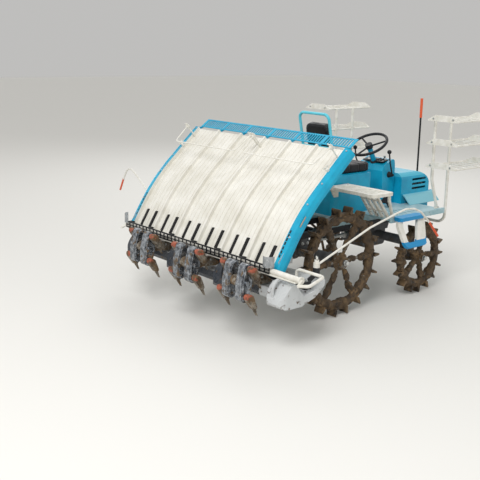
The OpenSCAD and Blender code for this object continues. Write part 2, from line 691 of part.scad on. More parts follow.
// Floats: a wide centre one and two side ones. Their tails lie beside the row pairs, and a
// curved strap hangs each tail from the guide rail.
module floats() {
    x_body = -888;
    x_tail = -1024;
    strip_z = guide_z - guide_r - 8;
    module boat(y0, y1, z, nose) intersection() {
        across((y0 + y1) / 2, y1 - y0)
            polygon([[x_body, z + 30], [x_body + 16, z + 76], [-800, z + 76], [-700, z + 52 + nose / 3],
                [-600, z + 40 + nose], [-572, z + 36 + nose], [-565, z + 16 + nose],
                [-590, z - 5 + nose], [-690, z + 2 + nose / 3], [-830, z], [x_body + 14, z]]);
        translate([0, 0, 200]) linear_extrude(400) polygon(round_box([x_body, y0], [-560, y1], 45));
    }
    module tail(y0, y1, z) intersection() {
        across((y0 + y1) / 2, y1 - y0)
            polygon([[x_tail, z + 34], [x_tail + 10, z + 66], [-958, z + 140], [-925, z + 170],
                [-880, z + 170], [-838, z + 112], [-806, z + 76], [-806, z], [-950, z], [x_tail + 26, z + 6]]);
        translate([0, 0, 200]) linear_extrude(400) polygon(round_box([x_tail, y0], [-760, y1], 60));
    }
    color("#c9ccd0") {
        difference() {
            boat(-410, 410, 318, 10);
            // Room for the lower links when the unit is up
            mirror_y() translate([0, 0, 200]) linear_extrude(400)
                polygon(round_box([-735, link_y - 27], [-500, link_y + 27], 12));
        }
        boat(490, 985, 338, 120);
        boat(-985, -490, 338, 120);
        mirror_y() tail(195, 405, 338);
        mirror_y() tail(795, 985, 338);
    }
    color(black) {
        // Hangers
        for (y = [-880, -520, -280, 280, 520, 880]) across(y, 30)
            polygon([[beam_x - 30, beam_z - 30], [beam_x + 10, beam_z - 30], [-775, 380], [-815, 380]]);
        // Straps
        for (y = [-870, -300, 300, 870]) across(y, 26)
            polygon(concat([[guide_x + 8, strip_z]], arc([guide_x, strip_z - 80], 80, 90, 175),
                [[-1008, 412], [-1000, 412]], arc([guide_x, strip_z - 80], 72, 175, 90),
                [[guide_x + 8, strip_z - 8]]));
    }
}

// Seedling tray

// The tray's path at height n above it, from s on
function path_at(n, s) = concat([low_point(s, n)],
    arc(bend_centre, slope_r + n, 90 + slope_low, 90 + slope_top, 9), [top_point(top_l, n)]);

// A strip along the tray between the heights n0 and n1, w wide and centred on y
module strip(n0, n1, y, w, s = tray_from) {
    back = path_at(n1, s);
    across(y, w) polygon(concat(path_at(n0, s), [for (i = [len(back) - 1:-1:0]) back[i]]));
}

// A section swept along the tray; its points are [height above the path, y]
module tray_sweep(section, s = tray_from) {
    rows = [for (q = section) path_at(q[0], s)];
    last = len(rows[0]) - 1;
    c = len(section);
    polyhedron([for (i = [0:last], k = [0:c - 1]) [rows[k][i][0], section[k][1], rows[k][i][1]]],
        concat([[for (k = [c - 1:-1:0]) k]], [[for (k = [0:c - 1]) last * c + k]],
            [for (i = [0:last - 1], k = [0:c - 1])
                let (a = i * c + k, b = i * c + (k + 1) % c) [a, b, b + c, a + c]]));
}

module tray() color(white) translate([0, tray_shift, 0]) {
    strip(-wall_h - floor_t, -wall_h, 0, tray_w);
    for (i = [0:lanes - 1], k = [-2:2])
        strip(-wall_h - 2, -wall_h + 4, (i + 0.5 - lanes / 2) * row_pitch + k * 46, 4);
    // Slide bar on the underside
    across(0, tray_w - 60) polygon([top_point(10, -wall_h - 3), top_point(50, -wall_h - 3),
        top_point(50, -wall_h - 30), top_point(10, -wall_h - 30)]);
}

// Walls between the lanes, standing on the tray's floor
module tray_walls() color(white) translate([0, tray_shift, 0])
    for (i = [0:lanes]) strip(-wall_h, 0, (i - lanes / 2) * row_pitch, row_pitch - lane_w);

module tray_rails() color(teal) translate([0, tray_shift, 0]) mirror_y() {
    section = [[0, -10], [3, -10], [-7, 29], [-2, 34], [-8, 40], [-44, 52], [-70, 52], [-70, 48],
        [-46, 48], [-12, 37], [-11, 29], [-4, 4], [-30, 4], [-30, 0], [0, 0]];
    tray_sweep([for (q = section) [q[0], tray_w / 2 + q[1]]]);
}

module tray_grille() color(teal) translate([0, tray_shift, 0]) {
    tilt = 35;
    w = tray_w + 10;
    slots = 10;
    slot_pitch = (row_pitch - 26) / slots;
    translate([path_end[0] + 42, 0, path_end[1] - 2]) rotate([0, -tilt, 0]) translate([0, 0, -5])
        linear_extrude(7) difference() {
            translate([0, -w / 2]) square([grille_d, w]);
            for (i = [0:lanes - 1], k = [0:slots - 1])
                translate([12, (i - lanes / 2) * row_pitch + 13 + (k + 0.18) * slot_pitch])
                    square([grille_d - 26, slot_pitch * 0.64]);
        }
    // Straps to the tray
    for (i = [0:lanes]) across((i - lanes / 2) * row_pitch, 14)
        polygon([top_point(top_l, -30), top_point(top_l, -1), path_end + [50, -1], path_end + [60, -8]]);
}

// Stop rail: the ladder that holds the mats' lower edges, hooked over the guide rail
module stop_rail() color(black) translate([0, tray_shift, 0]) {
    x = guide_x - guide_r - 10;
    half = tray_w / 2 + 12;
    posts = 36;
    pitch = 2 * half / posts;
    along(x, 7) difference() {
        translate([-half, 553]) square([2 * half, 59]);
        for (i = [0:posts - 1], z = [561, 583])
            translate([-half + i * pitch + 4, z]) square([pitch - 8, z == 561 ? 16 : 18]);
    }
    // Hooks over the guide rail to the ends of the lane walls
    for (i = [0:lanes]) across((i - lanes / 2) * row_pitch + (i == 0 ? 14 : i == lanes ? -14 : 0), 10)
        polygon([[x + 3, 611], [x + 3, 602], [guide_x - 4, 595], [guide_x + 20, 590],
            low_point(tray_from - 8, -wall_h), low_point(tray_from, -wall_h - floor_t), low_point(tray_from, 0),
            low_point(tray_from + 20, 0), low_point(tray_from + 20, 8), [guide_x + 5, 611]]);
}

// Press rods: two wire bails over the mats, on stalks
module press_rods() color(white) translate([0, tray_shift, 0]) {
    for (side = [-1, 1]) {
        y_in = side * 16;
        y_out = side * 3 * row_pitch - side * 20;
        foot = top_point(330, -wall_h);
        head = top_point(330, 105);
        low = top_point(130, 118);
        pipe([[head[0], y_in, head[1]], [low[0], y_in + side * 30, low[1]], [low[0], y_out - side * 30, low[1]], [head[0], y_out, head[1]]], 5);
        for (y = [y_in, y_out]) tube([foot[0], y, foot[1]], [head[0], y, head[1]], 6);
    }
}

// Rotors: a cross shaft with a gear case at each end

rotor_up = rotor_r * [sin(rotor_tilt), cos(rotor_tilt)];
rotor_at = [rotor_x, rotor_z];

module rotor(y) color(cast) {
    cross_pin(rotor_at, 15, y, 2 * 60);
    for (side = [-1, 1]) {
        across(y + side * 74, 66) {
            link2d(rotor_at, rotor_at + rotor_up, 52, 40);
            link2d(rotor_at, rotor_at - rotor_up, 52, 40);
        }
        for (end = [-1, 1]) cross_pin(rotor_at + end * rotor_up, 12, y + side * 136, 72);
    }
}

module rotor_left() rotor(case_y[0]);
module rotor_centre() rotor(case_y[1]);
module rotor_right() rotor(case_y[2]);

// Planting arms of one shaft at one end of its rotors: a body, a cap and a forked claw
module arms(y, end) {
    at = rotor_at + end * rotor_up;
    for (side = [-1, 1]) {
        row = y + side * row_half;
        color(cast) difference() {
            across(row, 44) {
                link2d(at, at + [40, -68], 29, 18);
            }
            cross_pin(at, 12 + pin_gap, row, 60);
        }
        color(orange) difference() {
            across(row, 52) polygon([for (q = round_box([-31, -8], [18, 30], 16)) at + q]);
            cross_pin(at, 12 + pin_gap, row, 60);
        }
        color(steel) for (k = [-1, 1]) across(row + k * 8, 5)
            polygon([at + [30, -66], at + [50, -64], at + claw_tip + [2, 0], at + claw_tip - [3, 0], at + [34, -84]]);
    }
}

module arms_left_a() arms(case_y[0], 1);
module arms_left_b() arms(case_y[0], -1);
module arms_centre_a() arms(case_y[1], 1);
module arms_centre_b() arms(case_y[1], -1);
module arms_right_a() arms(case_y[2], 1);
module arms_right_b() arms(case_y[2], -1);

// Marker arms: a rod that rises forward and hooks down at its tip

module marker(side, swing) {
    translate([marker_pin[0], side * marker_pin[1], marker_pin[2]]) rotate([0, 0, side * swing]) {
        color(black) difference() {
            translate([0, 0, -10]) cylinder(h = 34, r = 24);
            translate([0, 0, -20]) cylinder(h = 60, r = 11 + pin_gap);
        }
        color(white) pipe([[20, 0, 12], [576, 0, 205], [903, 0, 280], [1015, 0, 300], [1123, 0, 290],
            [1212, 0, 253], [1327, 0, 159]], 8);
        color(orange) tube([1327, 0, 159], [1469, 0, 16], 10);
    }
}

module marker_left() marker(1, marker_swing);
module marker_right() marker(-1, 0);

frame();
link_tower();
gearbox();
rear_axle();
drive_shaft();
engine();
bonnet();
dash();
deck();
step_left();
step_right();
rear_step_left();
rear_step_right();
pedestal();
seat_cushion();
seat_back();
seat_guard();
rack_left();
rack_right();
centre_pole();
levers();
steering_wheel();
knuckle_left();
knuckle_right();
front_rim_left();
front_rim_right();
front_tyre_left();
front_tyre_right();
rear_rim_left();
rear_rim_right();
rear_tyre_left();
rear_tyre_right();
lower_links();
upper_link();
lift_barrel();
lift_rod();
planting_frame();
planting_cases();
guide_rail();
floats();
tray();
tray_walls();
tray_rails();
tray_grille();
stop_rail();
press_rods();
rotor_left();
rotor_centre();
rotor_right();
arms_left_a();
arms_left_b();
arms_centre_a();
arms_centre_b();
arms_right_a();
arms_right_b();
marker_left();
marker_right();
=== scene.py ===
# %% [markdown]
# A riding rice transplanter, dressed step by step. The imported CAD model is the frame: its shapes
# and places stay as they are. This lesson gives its parts their finishes, and models the pieces
# that the solids leave out, such as upholstery, bolts, caked mud, lamps and pedals.

# %% Load the frame
import math

import bmesh
import bpy
from mathutils import Matrix, Vector


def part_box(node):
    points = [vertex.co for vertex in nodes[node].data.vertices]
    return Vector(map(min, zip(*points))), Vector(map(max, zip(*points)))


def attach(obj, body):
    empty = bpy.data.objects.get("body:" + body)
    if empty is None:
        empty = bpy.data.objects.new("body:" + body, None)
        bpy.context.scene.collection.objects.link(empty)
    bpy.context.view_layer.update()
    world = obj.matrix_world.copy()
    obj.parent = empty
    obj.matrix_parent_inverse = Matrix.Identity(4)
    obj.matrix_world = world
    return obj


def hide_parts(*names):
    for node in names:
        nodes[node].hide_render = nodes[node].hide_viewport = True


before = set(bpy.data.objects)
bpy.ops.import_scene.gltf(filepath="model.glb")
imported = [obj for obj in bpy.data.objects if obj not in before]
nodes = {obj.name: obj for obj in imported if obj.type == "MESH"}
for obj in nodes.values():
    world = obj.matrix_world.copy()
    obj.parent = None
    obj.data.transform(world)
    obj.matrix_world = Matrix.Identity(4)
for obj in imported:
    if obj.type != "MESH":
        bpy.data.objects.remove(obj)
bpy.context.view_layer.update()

# %% [markdown]
# The camera comes first, because every later look depends on it. A camera matrix has the view's
# right, up and backward directions as columns. They are worked out from a heading, a downward
# pitch and a small roll, as a camera held by hand would have them.

# %% Camera
CAMERA_AT = Vector((-4.7237, -4.7324, 2.1427))
HEADING, PITCH, ROLL = math.radians(41.318), math.radians(11.006), math.radians(1.359)
look = Vector((math.sin(HEADING) * math.cos(PITCH), math.cos(HEADING) * math.cos(PITCH), -math.sin(PITCH)))
level_right = Vector((math.cos(HEADING), -math.sin(HEADING), 0))
level_up = level_right.cross(look)
right = level_right * math.cos(ROLL) + level_up * math.sin(ROLL)
up = level_up * math.cos(ROLL) - level_right * math.sin(ROLL)

# In pixels of the 480 wide picture: its width, the focal length, and how far the axis is above the middle
PICTURE, FOCAL, AXIS_ABOVE = 480, 794.8, 39.5
camera_data = bpy.data.cameras.new("camera")
camera_data.sensor_width = 36
camera_data.lens = FOCAL / PICTURE * 36
camera_data.shift_y = -AXIS_ABOVE / PICTURE
camera = bpy.data.objects.new("camera", camera_data)
bpy.context.scene.collection.objects.link(camera)
turn = Matrix((right, up, -look)).transposed().to_4x4()
camera.matrix_world = Matrix.Translation(CAMERA_AT) @ turn
bpy.context.scene.camera = camera
bpy.context.scene.view_settings.view_transform = "Standard"
print("camera lens", round(camera_data.lens, 1), "mm")

# %% [markdown]
# Shader trees get long when each node takes five lines. One function adds a node, sets its
# options and sockets, and links its inputs, so that a finish reads as a short list of steps.
# Colours are written as sRGB hex, as a paint chart gives them, and turned to linear light.


# %% Colour and node helpers
def linear(code):
    """An sRGB hex colour as the linear RGBA that a shader takes."""
    parts = [int(code[i:i + 2], 16) / 255 for i in (1, 3, 5)]
    return [v / 12.92 if v <= 0.04045 else ((v + 0.055) / 1.055) ** 2.4 for v in parts] + [1]


def add(tree, kind, links=(), inputs=(), **options):
    """Adds one shader node with its options, socket values and links, and returns it."""
    node = tree.nodes.new("ShaderNode" + kind)
    for key, value in options.items():
        setattr(node, key, value)
    for key, value in dict(inputs).items():
        node.inputs[key].default_value = value
    for key, source in dict(links).items():
        tree.links.new(source, node.inputs[key])
    return node


def empty_material(name):
    """A new material with only its output and a Principled shader."""
    material = bpy.data.materials.new(name)
    material.use_nodes = True
    tree = material.node_tree
    tree.nodes.clear()
    shader = add(tree, "BsdfPrincipled")
    add(tree, "OutputMaterial", {"Surface": shader.outputs[0]})
    return material, tree, shader


print("#808080 is", round(linear("#808080")[0], 3), "in linear light")

# %% [markdown]
# A machine that works in wet ground carries mud. It lies thick below and thins out upwards, with a
# torn edge. The mask adds a noise to a ramp of the height and cuts the sum sharply. Mud is darker
# and smoother where it is still wet, so a second noise moves its colour and roughness together.

# %% Mud mask
MUD_DARK, MUD_PALE = "#30271d", "#80694d"
# The lowest and highest edge of the mud that the wheels throw at the frame, and its cover below
SPLASH = (0.35, 0.75, 0.12)


def all_over(cover):
    """Mud of the same cover at every height, because its ramp starts far above the machine."""
    return 5.0, 6.0, cover


def mud_mask(tree, place, low, high, cover):
    """How much mud there is: cover at height low, thinning to none at height high."""
    height = add(tree, "SeparateXYZ", {0: place}).outputs["Z"]
    ramp = add(tree, "MapRange", {"Value": height},
               {"From Min": low, "From Max": high, "To Min": cover, "To Max": -0.3})
    # Clods of about 45 mm, with crumbs down to 2 mm
    clods = add(tree, "TexNoise", {"Vector": place}, {"Scale": 22, "Detail": 7, "Roughness": 0.62})
    total = add(tree, "Math", {0: clods.outputs[0], 1: ramp.outputs[0]}, operation="ADD")
    return add(tree, "MapRange", {"Value": total.outputs[0]}, {"From Min": 0.6, "From Max": 0.66}).outputs[0]


def mud_colours(tree, place):
    """Colour and roughness of mud, from dark and wet to pale and dry."""
    wet = add(tree, "TexNoise", {"Vector": place}, {"Scale": 9, "Detail": 5, "Roughness": 0.7})
    spread = add(tree, "MapRange", {"Value": wet.outputs[0]}, {"From Min": 0.36, "From Max": 0.66})
    colour = add(tree, "Mix", {0: spread.outputs[0]}, {6: linear(MUD_DARK), 7: linear(MUD_PALE)},
                 data_type="RGBA")
    rough = add(tree, "MapRange", {"Value": wet.outputs[0]},
                {"From Min": 0.4, "From Max": 0.6, "To Min": 0.32, "To Max": 0.85})
    return colour.outputs[2], rough.outputs[0]


print("mud from", MUD_DARK, "to", MUD_PALE)

# %% [markdown]
# Most finishes differ only in numbers: two tones of the same colour in soft patches, a roughness
# that follows them, and a fine grain in the bump. One function builds that, and takes each size
# in millimetres. Mud goes over it where the part is splashed.

# %% Surface finish


def surface(name, tones, rough, patch_mm, grain_mm, depth_mm, metallic=0.0, mud=None, coat=0.0):
    """A finish of two tones in patches with a grain, and mud given as (low, high, cover)."""
    material, tree, shader = empty_material(name)
    place = add(tree, "TexCoord").outputs["Object"]
    patches = add(tree, "TexNoise", {"Vector": place},
                  {"Scale": 1000 / patch_mm, "Detail": 5, "Roughness": 0.6}).outputs[0]
    spread = add(tree, "MapRange", {"Value": patches}, {"From Min": 0.35, "From Max": 0.65}).outputs[0]
    colour = add(tree, "Mix", {0: spread}, {6: linear(tones[0]), 7: linear(tones[1])},
                 data_type="RGBA").outputs[2]
    roughness = add(tree, "MapRange", {"Value": patches},
                    {"From Min": 0.3, "From Max": 0.7, "To Min": rough[0], "To Max": rough[1]}).outputs[0]
    grain = add(tree, "TexNoise", {"Vector": place}, {"Scale": 1000 / grain_mm, "Detail": 3}).outputs[0]
    bump = add(tree, "Bump", {"Height": grain}, {"Strength": 0.6, "Distance": depth_mm / 1000})
    shader.inputs["Metallic"].default_value = metallic
    shader.inputs["Coat Weight"].default_value = coat
    if not metallic:
        shader.inputs["Specular IOR Level"].default_value = 0.3
    if mud:
        mask = mud_mask(tree, place, *mud)
        mud_colour, mud_rough = mud_colours(tree, place)
        colour = add(tree, "Mix", {0: mask, 6: colour, 7: mud_colour}, data_type="RGBA",
                     label="mud").outputs[2]
        roughness = add(tree, "Mix", {0: mask, 2: roughness, 3: mud_rough}).outputs[0]
        if metallic:
            bare = add(tree, "MapRange", {"Value": mask}, {"To Min": metallic, "To Max": 0.0})
            tree.links.new(bare.outputs[0], shader.inputs["Metallic"])
        lumps = add(tree, "TexNoise", {"Vector": place}, {"Scale": 70, "Detail": 6, "Roughness": 0.7})
        raised = add(tree, "Math", {0: lumps.outputs[0], 1: mask}, operation="MULTIPLY")
        bump = add(tree, "Bump", {"Height": raised.outputs[0], "Normal": bump.outputs[0]},
                   {"Strength": 0.8, "Distance": 0.006})
    tree.links.new(colour, shader.inputs["Base Color"])
    tree.links.new(roughness, shader.inputs["Roughness"])
    tree.links.new(bump.outputs[0], shader.inputs["Normal"])
    return material


print("surface finish ready")

# %% [markdown]
# Some mouldings show two colours, such as the steps with their blue treads, or a rod with a bright
# end. A plane divides the colours: a dot product says on which side of it a point lies. The second
# colour goes under the mud, as it would on the real piece.

# %% Second colour past a plane


def second_tone(material, code, direction, limit):
    """Gives the side of a plane past limit along direction another colour, under any mud."""
    tree = material.node_tree
    shader = next(n for n in tree.nodes if n.type == "BSDF_PRINCIPLED")
    place = next(n for n in tree.nodes if n.type == "TEX_COORD").outputs["Object"]
    along = add(tree, "VectorMath", {0: place}, {1: direction}, operation="DOT_PRODUCT")
    past = add(tree, "Math", {0: along.outputs["Value"]}, {1: limit}, operation="GREATER_THAN")
    colour = shader.inputs["Base Color"]
    if colour.links[0].from_node.label == "mud":
        colour = colour.links[0].from_node.inputs[6]
    mixed = add(tree, "Mix", {0: past.outputs[0], 6: colour.links[0].from_socket}, {7: linear(code)},
                data_type="RGBA")
    tree.links.new(mixed.outputs[2], colour)
    return material


print("second colour ready")

# %% [markdown]
# The turquoise parts come first. The covers are ABS, moulded with a fine leather-like grain of
# about 0.9 mm and a soft sheen. Folded steel and tube are powder coated or enamelled, which gives a
# slight orange peel of 2 to 3 mm, so the same colour has a coarser and glossier skin there.

# %% Finishes of the turquoise parts
turquoise_abs = surface("turquoise ABS, moulded", ("#0a93b8", "#12a7cb"), (0.3, 0.42), 180, 0.9, 0.08,
                        coat=0.15)
# The bonnet's top is a lighter turquoise, and its flared apron is moulded in a paler plastic
BONNET_TOP, APRON_FROM = 0.975, 0.242
bonnet_abs = surface("turquoise ABS with a paler apron", ("#0a93b8", "#12a7cb"), (0.3, 0.42), 180, 0.9, 0.08,
                     coat=0.15)
second_tone(bonnet_abs, "#45b4cf", (0, 0, 1), BONNET_TOP)
for side in (1, -1):
    second_tone(bonnet_abs, "#7fc0cf", (0, side, 0), APRON_FROM)
turquoise_bright = surface("turquoise polypropylene, moulded grille", ("#1598be", "#27abcf"),
                           (0.32, 0.45), 90, 0.9, 0.08)
turquoise_coat = surface("turquoise powder coat on folded steel", ("#0899be", "#10a9cc"), (0.26, 0.4),
                         120, 2.5, 0.1, coat=0.2)
guard_coat = surface("light cyan enamel on tube", ("#52bfd4", "#6fd2e2"), (0.25, 0.38), 70, 2.5, 0.08)
print("turquoise finishes made")

# %% [markdown]
# Steps, deck, tray and floats are pale plastic. Boots scuff the rear steps, a film of mud dries on
# the deck, and the floats' wet tails get a dark painted shade between the rotor pairs, so each has
# its own tones.

# %% Finishes of the pale plastics
# The step's loop is white and its tread, lower bar and half of the front leg are blue
STEP_BLUE = "#228dc4"
step_abs = surface("white and blue ABS, moulded", ("#d8d6cc", "#e8e6df"), (0.35, 0.48), 60, 0.9, 0.1)
for direction, limit in (((0, 0, 1), 0.712), ((0, 0, -1), -0.556), ((0.75, 0, -1), 0.1)):
    second_tone(step_abs, STEP_BLUE, direction, limit)
deck_abs = surface("pale blue ABS under a dried film of mud", ("#8fb4bd", "#b5cdd2"), (0.4, 0.7), 110,
                   1.2, 0.15, mud=(0.6, 1.1, 0.03))
white_abs = surface("white polypropylene, moulded", ("#dcd9cf", "#eae8e1"), (0.35, 0.5), 150, 0.9, 0.08)
step_white = surface("white polypropylene, scuffed by boots", ("#cfccc0", "#e9e7df"), (0.4, 0.6), 60,
                     0.9, 0.1, mud=(0.7, 1.2, 0.05))
# The floats' wet tails get a nearly black painted shade where they lie between the rotor pairs;
# only the outer right one, out in the open, stays grey-white
float_plastic_and_shade = surface("grey polyethylene, blow moulded, wet", ("#b4b8bb", "#cfd2d3"), (0.12, 0.5), 40,
                        14.0, 1.5, mud=(0.1, 1.4, 0.12))
SHADED_TAILS_FROM, OUTER_FLOAT = 0.872, 0.6
second_tone(float_plastic_and_shade, "#3a3e44", (-1, 0, 0), SHADED_TAILS_FROM)
second_tone(float_plastic_and_shade, "#c3c6c7", (0, -1, 0), OUTER_FLOAT)
print("pale plastics made")

# %% [markdown]
# Tubes and frame are enamelled steel, the axles are painted iron castings, and the planting cases
# are die-cast aluminium left bare. Under a wet film and mud the casting's skin seems crinkled,
# which a deep bump with a grain of 24 mm gives. On the rotor cases, the dark and bright tones in
# patches of 28 mm are painted reflections and highlights of that skin.

# %% Finishes of steel and castings
white_enamel = surface("off-white enamel on steel", ("#d9d6cb", "#ebe9e2"), (0.25, 0.4), 60, 2.2, 0.08,
                       mud=(0.4, 0.75, 0.03))
black_enamel = surface("black enamel on steel", ("#17181b", "#26282c"), (0.35, 0.5), 80, 2.2, 0.1,
                       mud=SPLASH)
grey_casting = surface("grey painted iron casting", ("#4a4b4c", "#626365"), (0.5, 0.65), 60, 1.6, 0.35,
                       mud=SPLASH)
# Wet castings: a crinkled film breaks the reflections up, and the two tones paint dark reflections and
# highlights into the colour
wet_alloy_and_glints = surface("die-cast aluminium under a wet film, painted glints", ("#464a50", "#a6abb1"), (0.08, 0.32), 28,
                    24.0, 5.0, metallic=0.8, mud=all_over(0.06))
muddy_alloy = surface("die-cast aluminium under drying mud", ("#6d665c", "#a39a8c"), (0.3, 0.6), 22, 5.0, 1.5,
                      metallic=0.5, mud=all_over(0.14))
plated_steel = surface("zinc-plated steel", ("#b9bbbb", "#d2d3d0"), (0.25, 0.4), 25, 1.0, 0.03,
                       metallic=1.0)
print("steel and castings made")

# %% [markdown]
# Tyres and rims hide under mud, so little of the rubber and paint shows. The black parts are
# polypropylene and nylon, the arms wear orange caps, the seat is vinyl with an embossed grain, and
# the sighting rod turns orange near its top.

# %% Finishes of wheels, black parts and rod
caked_rubber = surface("solid rubber under caked mud", ("#211d1a", "#302a25"), (0.6, 0.8), 60, 2.0, 0.3,
                       mud=all_over(0.2))
caked_rim = surface("grey paint under caked mud", ("#6b6a66", "#83817a"), (0.4, 0.6), 60, 2.0, 0.15,
                    mud=all_over(0.19))
black_abs = surface("black polypropylene, grained", ("#141518", "#202226"), (0.45, 0.6), 60, 0.9, 0.12,
                    mud=(0.45, 0.66, 0.02))
stop_plastic = surface("black nylon under splashes", ("#16171a", "#232529"), (0.4, 0.55), 60, 0.9, 0.1,
                       mud=(0.52, 0.66, 0.08))
cap_orange = surface("orange polypropylene under splashes", ("#8a4635", "#b0624a"), (0.3, 0.6), 18, 3.0,
                     0.6, mud=all_over(0.115))
vinyl = surface("black vinyl, embossed grain", ("#131315", "#1d1d20"), (0.42, 0.56), 120, 1.6, 0.3)
ROD_ORANGE_FROM = 1.49
pole_paint = surface("black painted rod", ("#141416", "#1e1f22"), (0.3, 0.45), 50, 2.0, 0.05)
second_tone(pole_paint, "#e0603a", (0, 0, 1), ROD_ORANGE_FROM)
print("the other finishes made")

# %% [markdown]
# The markers are white rods whose last stretch is orange. The plane between the two colours
# stands across the rod, so its direction is the way that the arm points.

# %% Marker finishes
MARKER_PIN = Vector((-0.65, 0.95, 0.6))
TIP_FROM = 1.327
LEFT_SWING = math.radians(72)


def marker_finish(name, side, swing):
    """White enamel that turns orange past the arm's last bend."""
    direction = Vector((math.cos(swing), side * math.sin(swing), 0))
    pin = Vector((MARKER_PIN.x, side * MARKER_PIN.y, 0))
    rod = surface(name, ("#d9d6cb", "#ebe9e2"), (0.25, 0.4), 60, 2.2, 0.05)
    return second_tone(rod, "#dd5b35", direction, direction.dot(pin) + TIP_FROM)


print("marker rods turn orange", TIP_FROM, "m from their pins")

# %% [markdown]
# Each CAD node gets its finish by its name, and a table keeps that readable. Only the two seat pads
# aren't in it. They get vinyl here, and stuffed pads take their place further on.

# %% Finish for each CAD node
FINISHES = {
    "frame": black_enamel, "link_tower": black_enamel, "lower_links": black_enamel,
    "upper_link": black_enamel, "lift_barrel": black_enamel, "planting_frame": black_enamel,
    "lift_rod": plated_steel, "gearbox": grey_casting, "rear_axle": grey_casting, "engine": grey_casting,
    "knuckle_left": grey_casting, "knuckle_right": grey_casting, "drive_shaft": plated_steel,
    "bonnet": bonnet_abs, "dash": turquoise_abs, "pedestal": turquoise_abs,
    "tray_grille": turquoise_bright, "tray_rails": turquoise_coat, "seat_guard": guard_coat,
    "deck": deck_abs, "step_left": step_abs, "step_right": step_abs,
    "rear_step_left": step_white, "rear_step_right": step_white,
    "tray": white_abs, "tray_walls": white_abs, "floats": float_plastic_and_shade,
    "rack_left": white_enamel, "rack_right": white_enamel, "guide_rail": white_enamel,
    "press_rods": white_enamel, "levers": black_abs, "steering_wheel": black_abs,
    "stop_rail": stop_plastic, "planting_cases": muddy_alloy, "centre_pole": pole_paint,
    "marker_left": marker_finish("white rod, left marker", 1, LEFT_SWING),
    "marker_right": marker_finish("white rod, right marker", -1, 0.0),
}
for side in ("left", "right"):
    for axle in ("front", "rear"):
        FINISHES[f"{axle}_tyre_{side}"] = caked_rubber
        FINISHES[f"{axle}_rim_{side}"] = caked_rim
for place in ("left", "centre", "right"):
    FINISHES[f"rotor_{place}"] = wet_alloy_and_glints
    FINISHES[f"arms_{place}_a"] = muddy_alloy
    FINISHES[f"arms_{place}_b"] = muddy_alloy
for name, node in nodes.items():
    node.data.materials.clear()
    node.data.materials.append(FINISHES.get(name, vinyl))
print(len(FINISHES), "nodes have a finish")

# %% [markdown]
# Small parts repeat all over a machine, so a few helpers do the handwork. One adds a primitive
# with nothing else selected, one selects faces by a test, as clicking would, and others leave edit
# mode with all faces outwards, apply a modifier, or move a piece's place into its mesh.


# %% Helpers for shaping by hand
def start(kind, name, **sizes):
    """Adds a primitive with nothing else selected, and names it."""
    bpy.ops.object.select_all(action="DESELECT")
    getattr(bpy.ops.mesh, f"primitive_{kind}_add")(**sizes)
    bpy.context.object.name = name
    return bpy.context.object


def only(piece):
    """Makes one piece the only selected and the active one."""
    bpy.ops.object.select_all(action="DESELECT")
    piece.select_set(True)
    bpy.context.view_layer.objects.active = piece


def pick_faces(piece, test):
    """Opens edit mode with only the faces selected that pass a test of centre and normal."""
    only(piece)
    bpy.ops.object.mode_set(mode="EDIT")
    bpy.ops.mesh.select_mode(type="FACE")
    bpy.ops.mesh.select_all(action="DESELECT")
    mesh = bmesh.from_edit_mesh(piece.data)
    for face in mesh.faces:
        face.select_set(test(face.calc_center_median(), face.normal))
    bmesh.update_edit_mesh(piece.data)


def object_mode():
    bpy.ops.object.mode_set(mode="OBJECT")


def close_up():
    """Turns all faces of the piece in edit mode outwards, and leaves edit mode."""
    bpy.ops.mesh.select_all(action="SELECT")
    bpy.ops.mesh.normals_make_consistent(inside=False)
    object_mode()


def apply_modifier(piece, kind, **settings):
    """Adds a modifier with its settings and applies it at once."""
    only(piece)
    modifier = piece.modifiers.new(kind.lower(), kind)
    for key, value in settings.items():
        setattr(modifier, key, value)
    bpy.ops.object.modifier_apply(modifier=modifier.name)
    return piece


def place_in_mesh(piece):
    """Moves the piece's place, turn and scale into its mesh."""
    only(piece)
    bpy.ops.object.transform_apply(location=True, rotation=True, scale=True)
    return piece


print("shaping helpers ready")

# %% [markdown]
# Most small parts start as a rounded block or as a plate cut from an outline, and several of them
# are joined into one piece. A finished piece is settled: its place goes into its mesh, its edges
# turn smooth up to an angle, and it rides on its body and takes its material slot.


# %% Helpers for blocks, plates and finished pieces
def settle(piece, material, body, angle=35):
    """Finishes a piece: place in the mesh, smooth edges, material, body and slot."""
    place_in_mesh(piece)
    bpy.ops.object.shade_smooth_by_angle(angle=math.radians(angle))
    piece.data.materials.clear()
    piece.data.materials.append(material)
    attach(piece, body)
    return piece


def block(name, low, high, bevel, segments=2):
    """A box between two corners with rounded edges."""
    low, high = Vector(low), Vector(high)
    piece = start("cube", name, size=1, location=(low + high) / 2)
    piece.scale = high - low
    return apply_modifier(place_in_mesh(piece), "BEVEL", width=bevel, segments=segments)


def plate(name, outline, depth, bevel=0.0):
    """A plate in its own XY plane from its outline, extruded upwards, with its edges broken."""
    piece = start("circle", name, vertices=len(outline), radius=1, fill_type="NGON")
    for vertex, (x, y) in zip(piece.data.vertices, outline):
        vertex.co = (x, y, 0)
    pick_faces(piece, lambda centre, normal: True)
    bpy.ops.mesh.extrude_region_move(TRANSFORM_OT_translate={"value": (0, 0, depth)})
    close_up()
    if bevel:
        apply_modifier(piece, "BEVEL", width=bevel, segments=2, limit_method="ANGLE")
    return piece


def join(name, *parts):
    """Joins pieces into the first one and names it."""
    only(parts[0])
    for part in parts[1:]:
        part.select_set(True)
    bpy.ops.object.join()
    parts[0].name = name
    return parts[0]


print("block, plate and finishing helpers ready")

# %% [markdown]
# What repeats is modelled once, as a pattern at the origin, and copied to its places. A place is a
# matrix: where the pattern goes, which way its own Z axis faces, and its spin and scale. A mirrored
# copy turns inside out, so its faces are flipped back.


# %% Helpers for repeated parts
def moved(piece, matrix):
    """Moves a piece's mesh by a matrix."""
    piece.data.transform(matrix)
    if matrix.determinant() < 0:
        piece.data.flip_normals()
    return piece


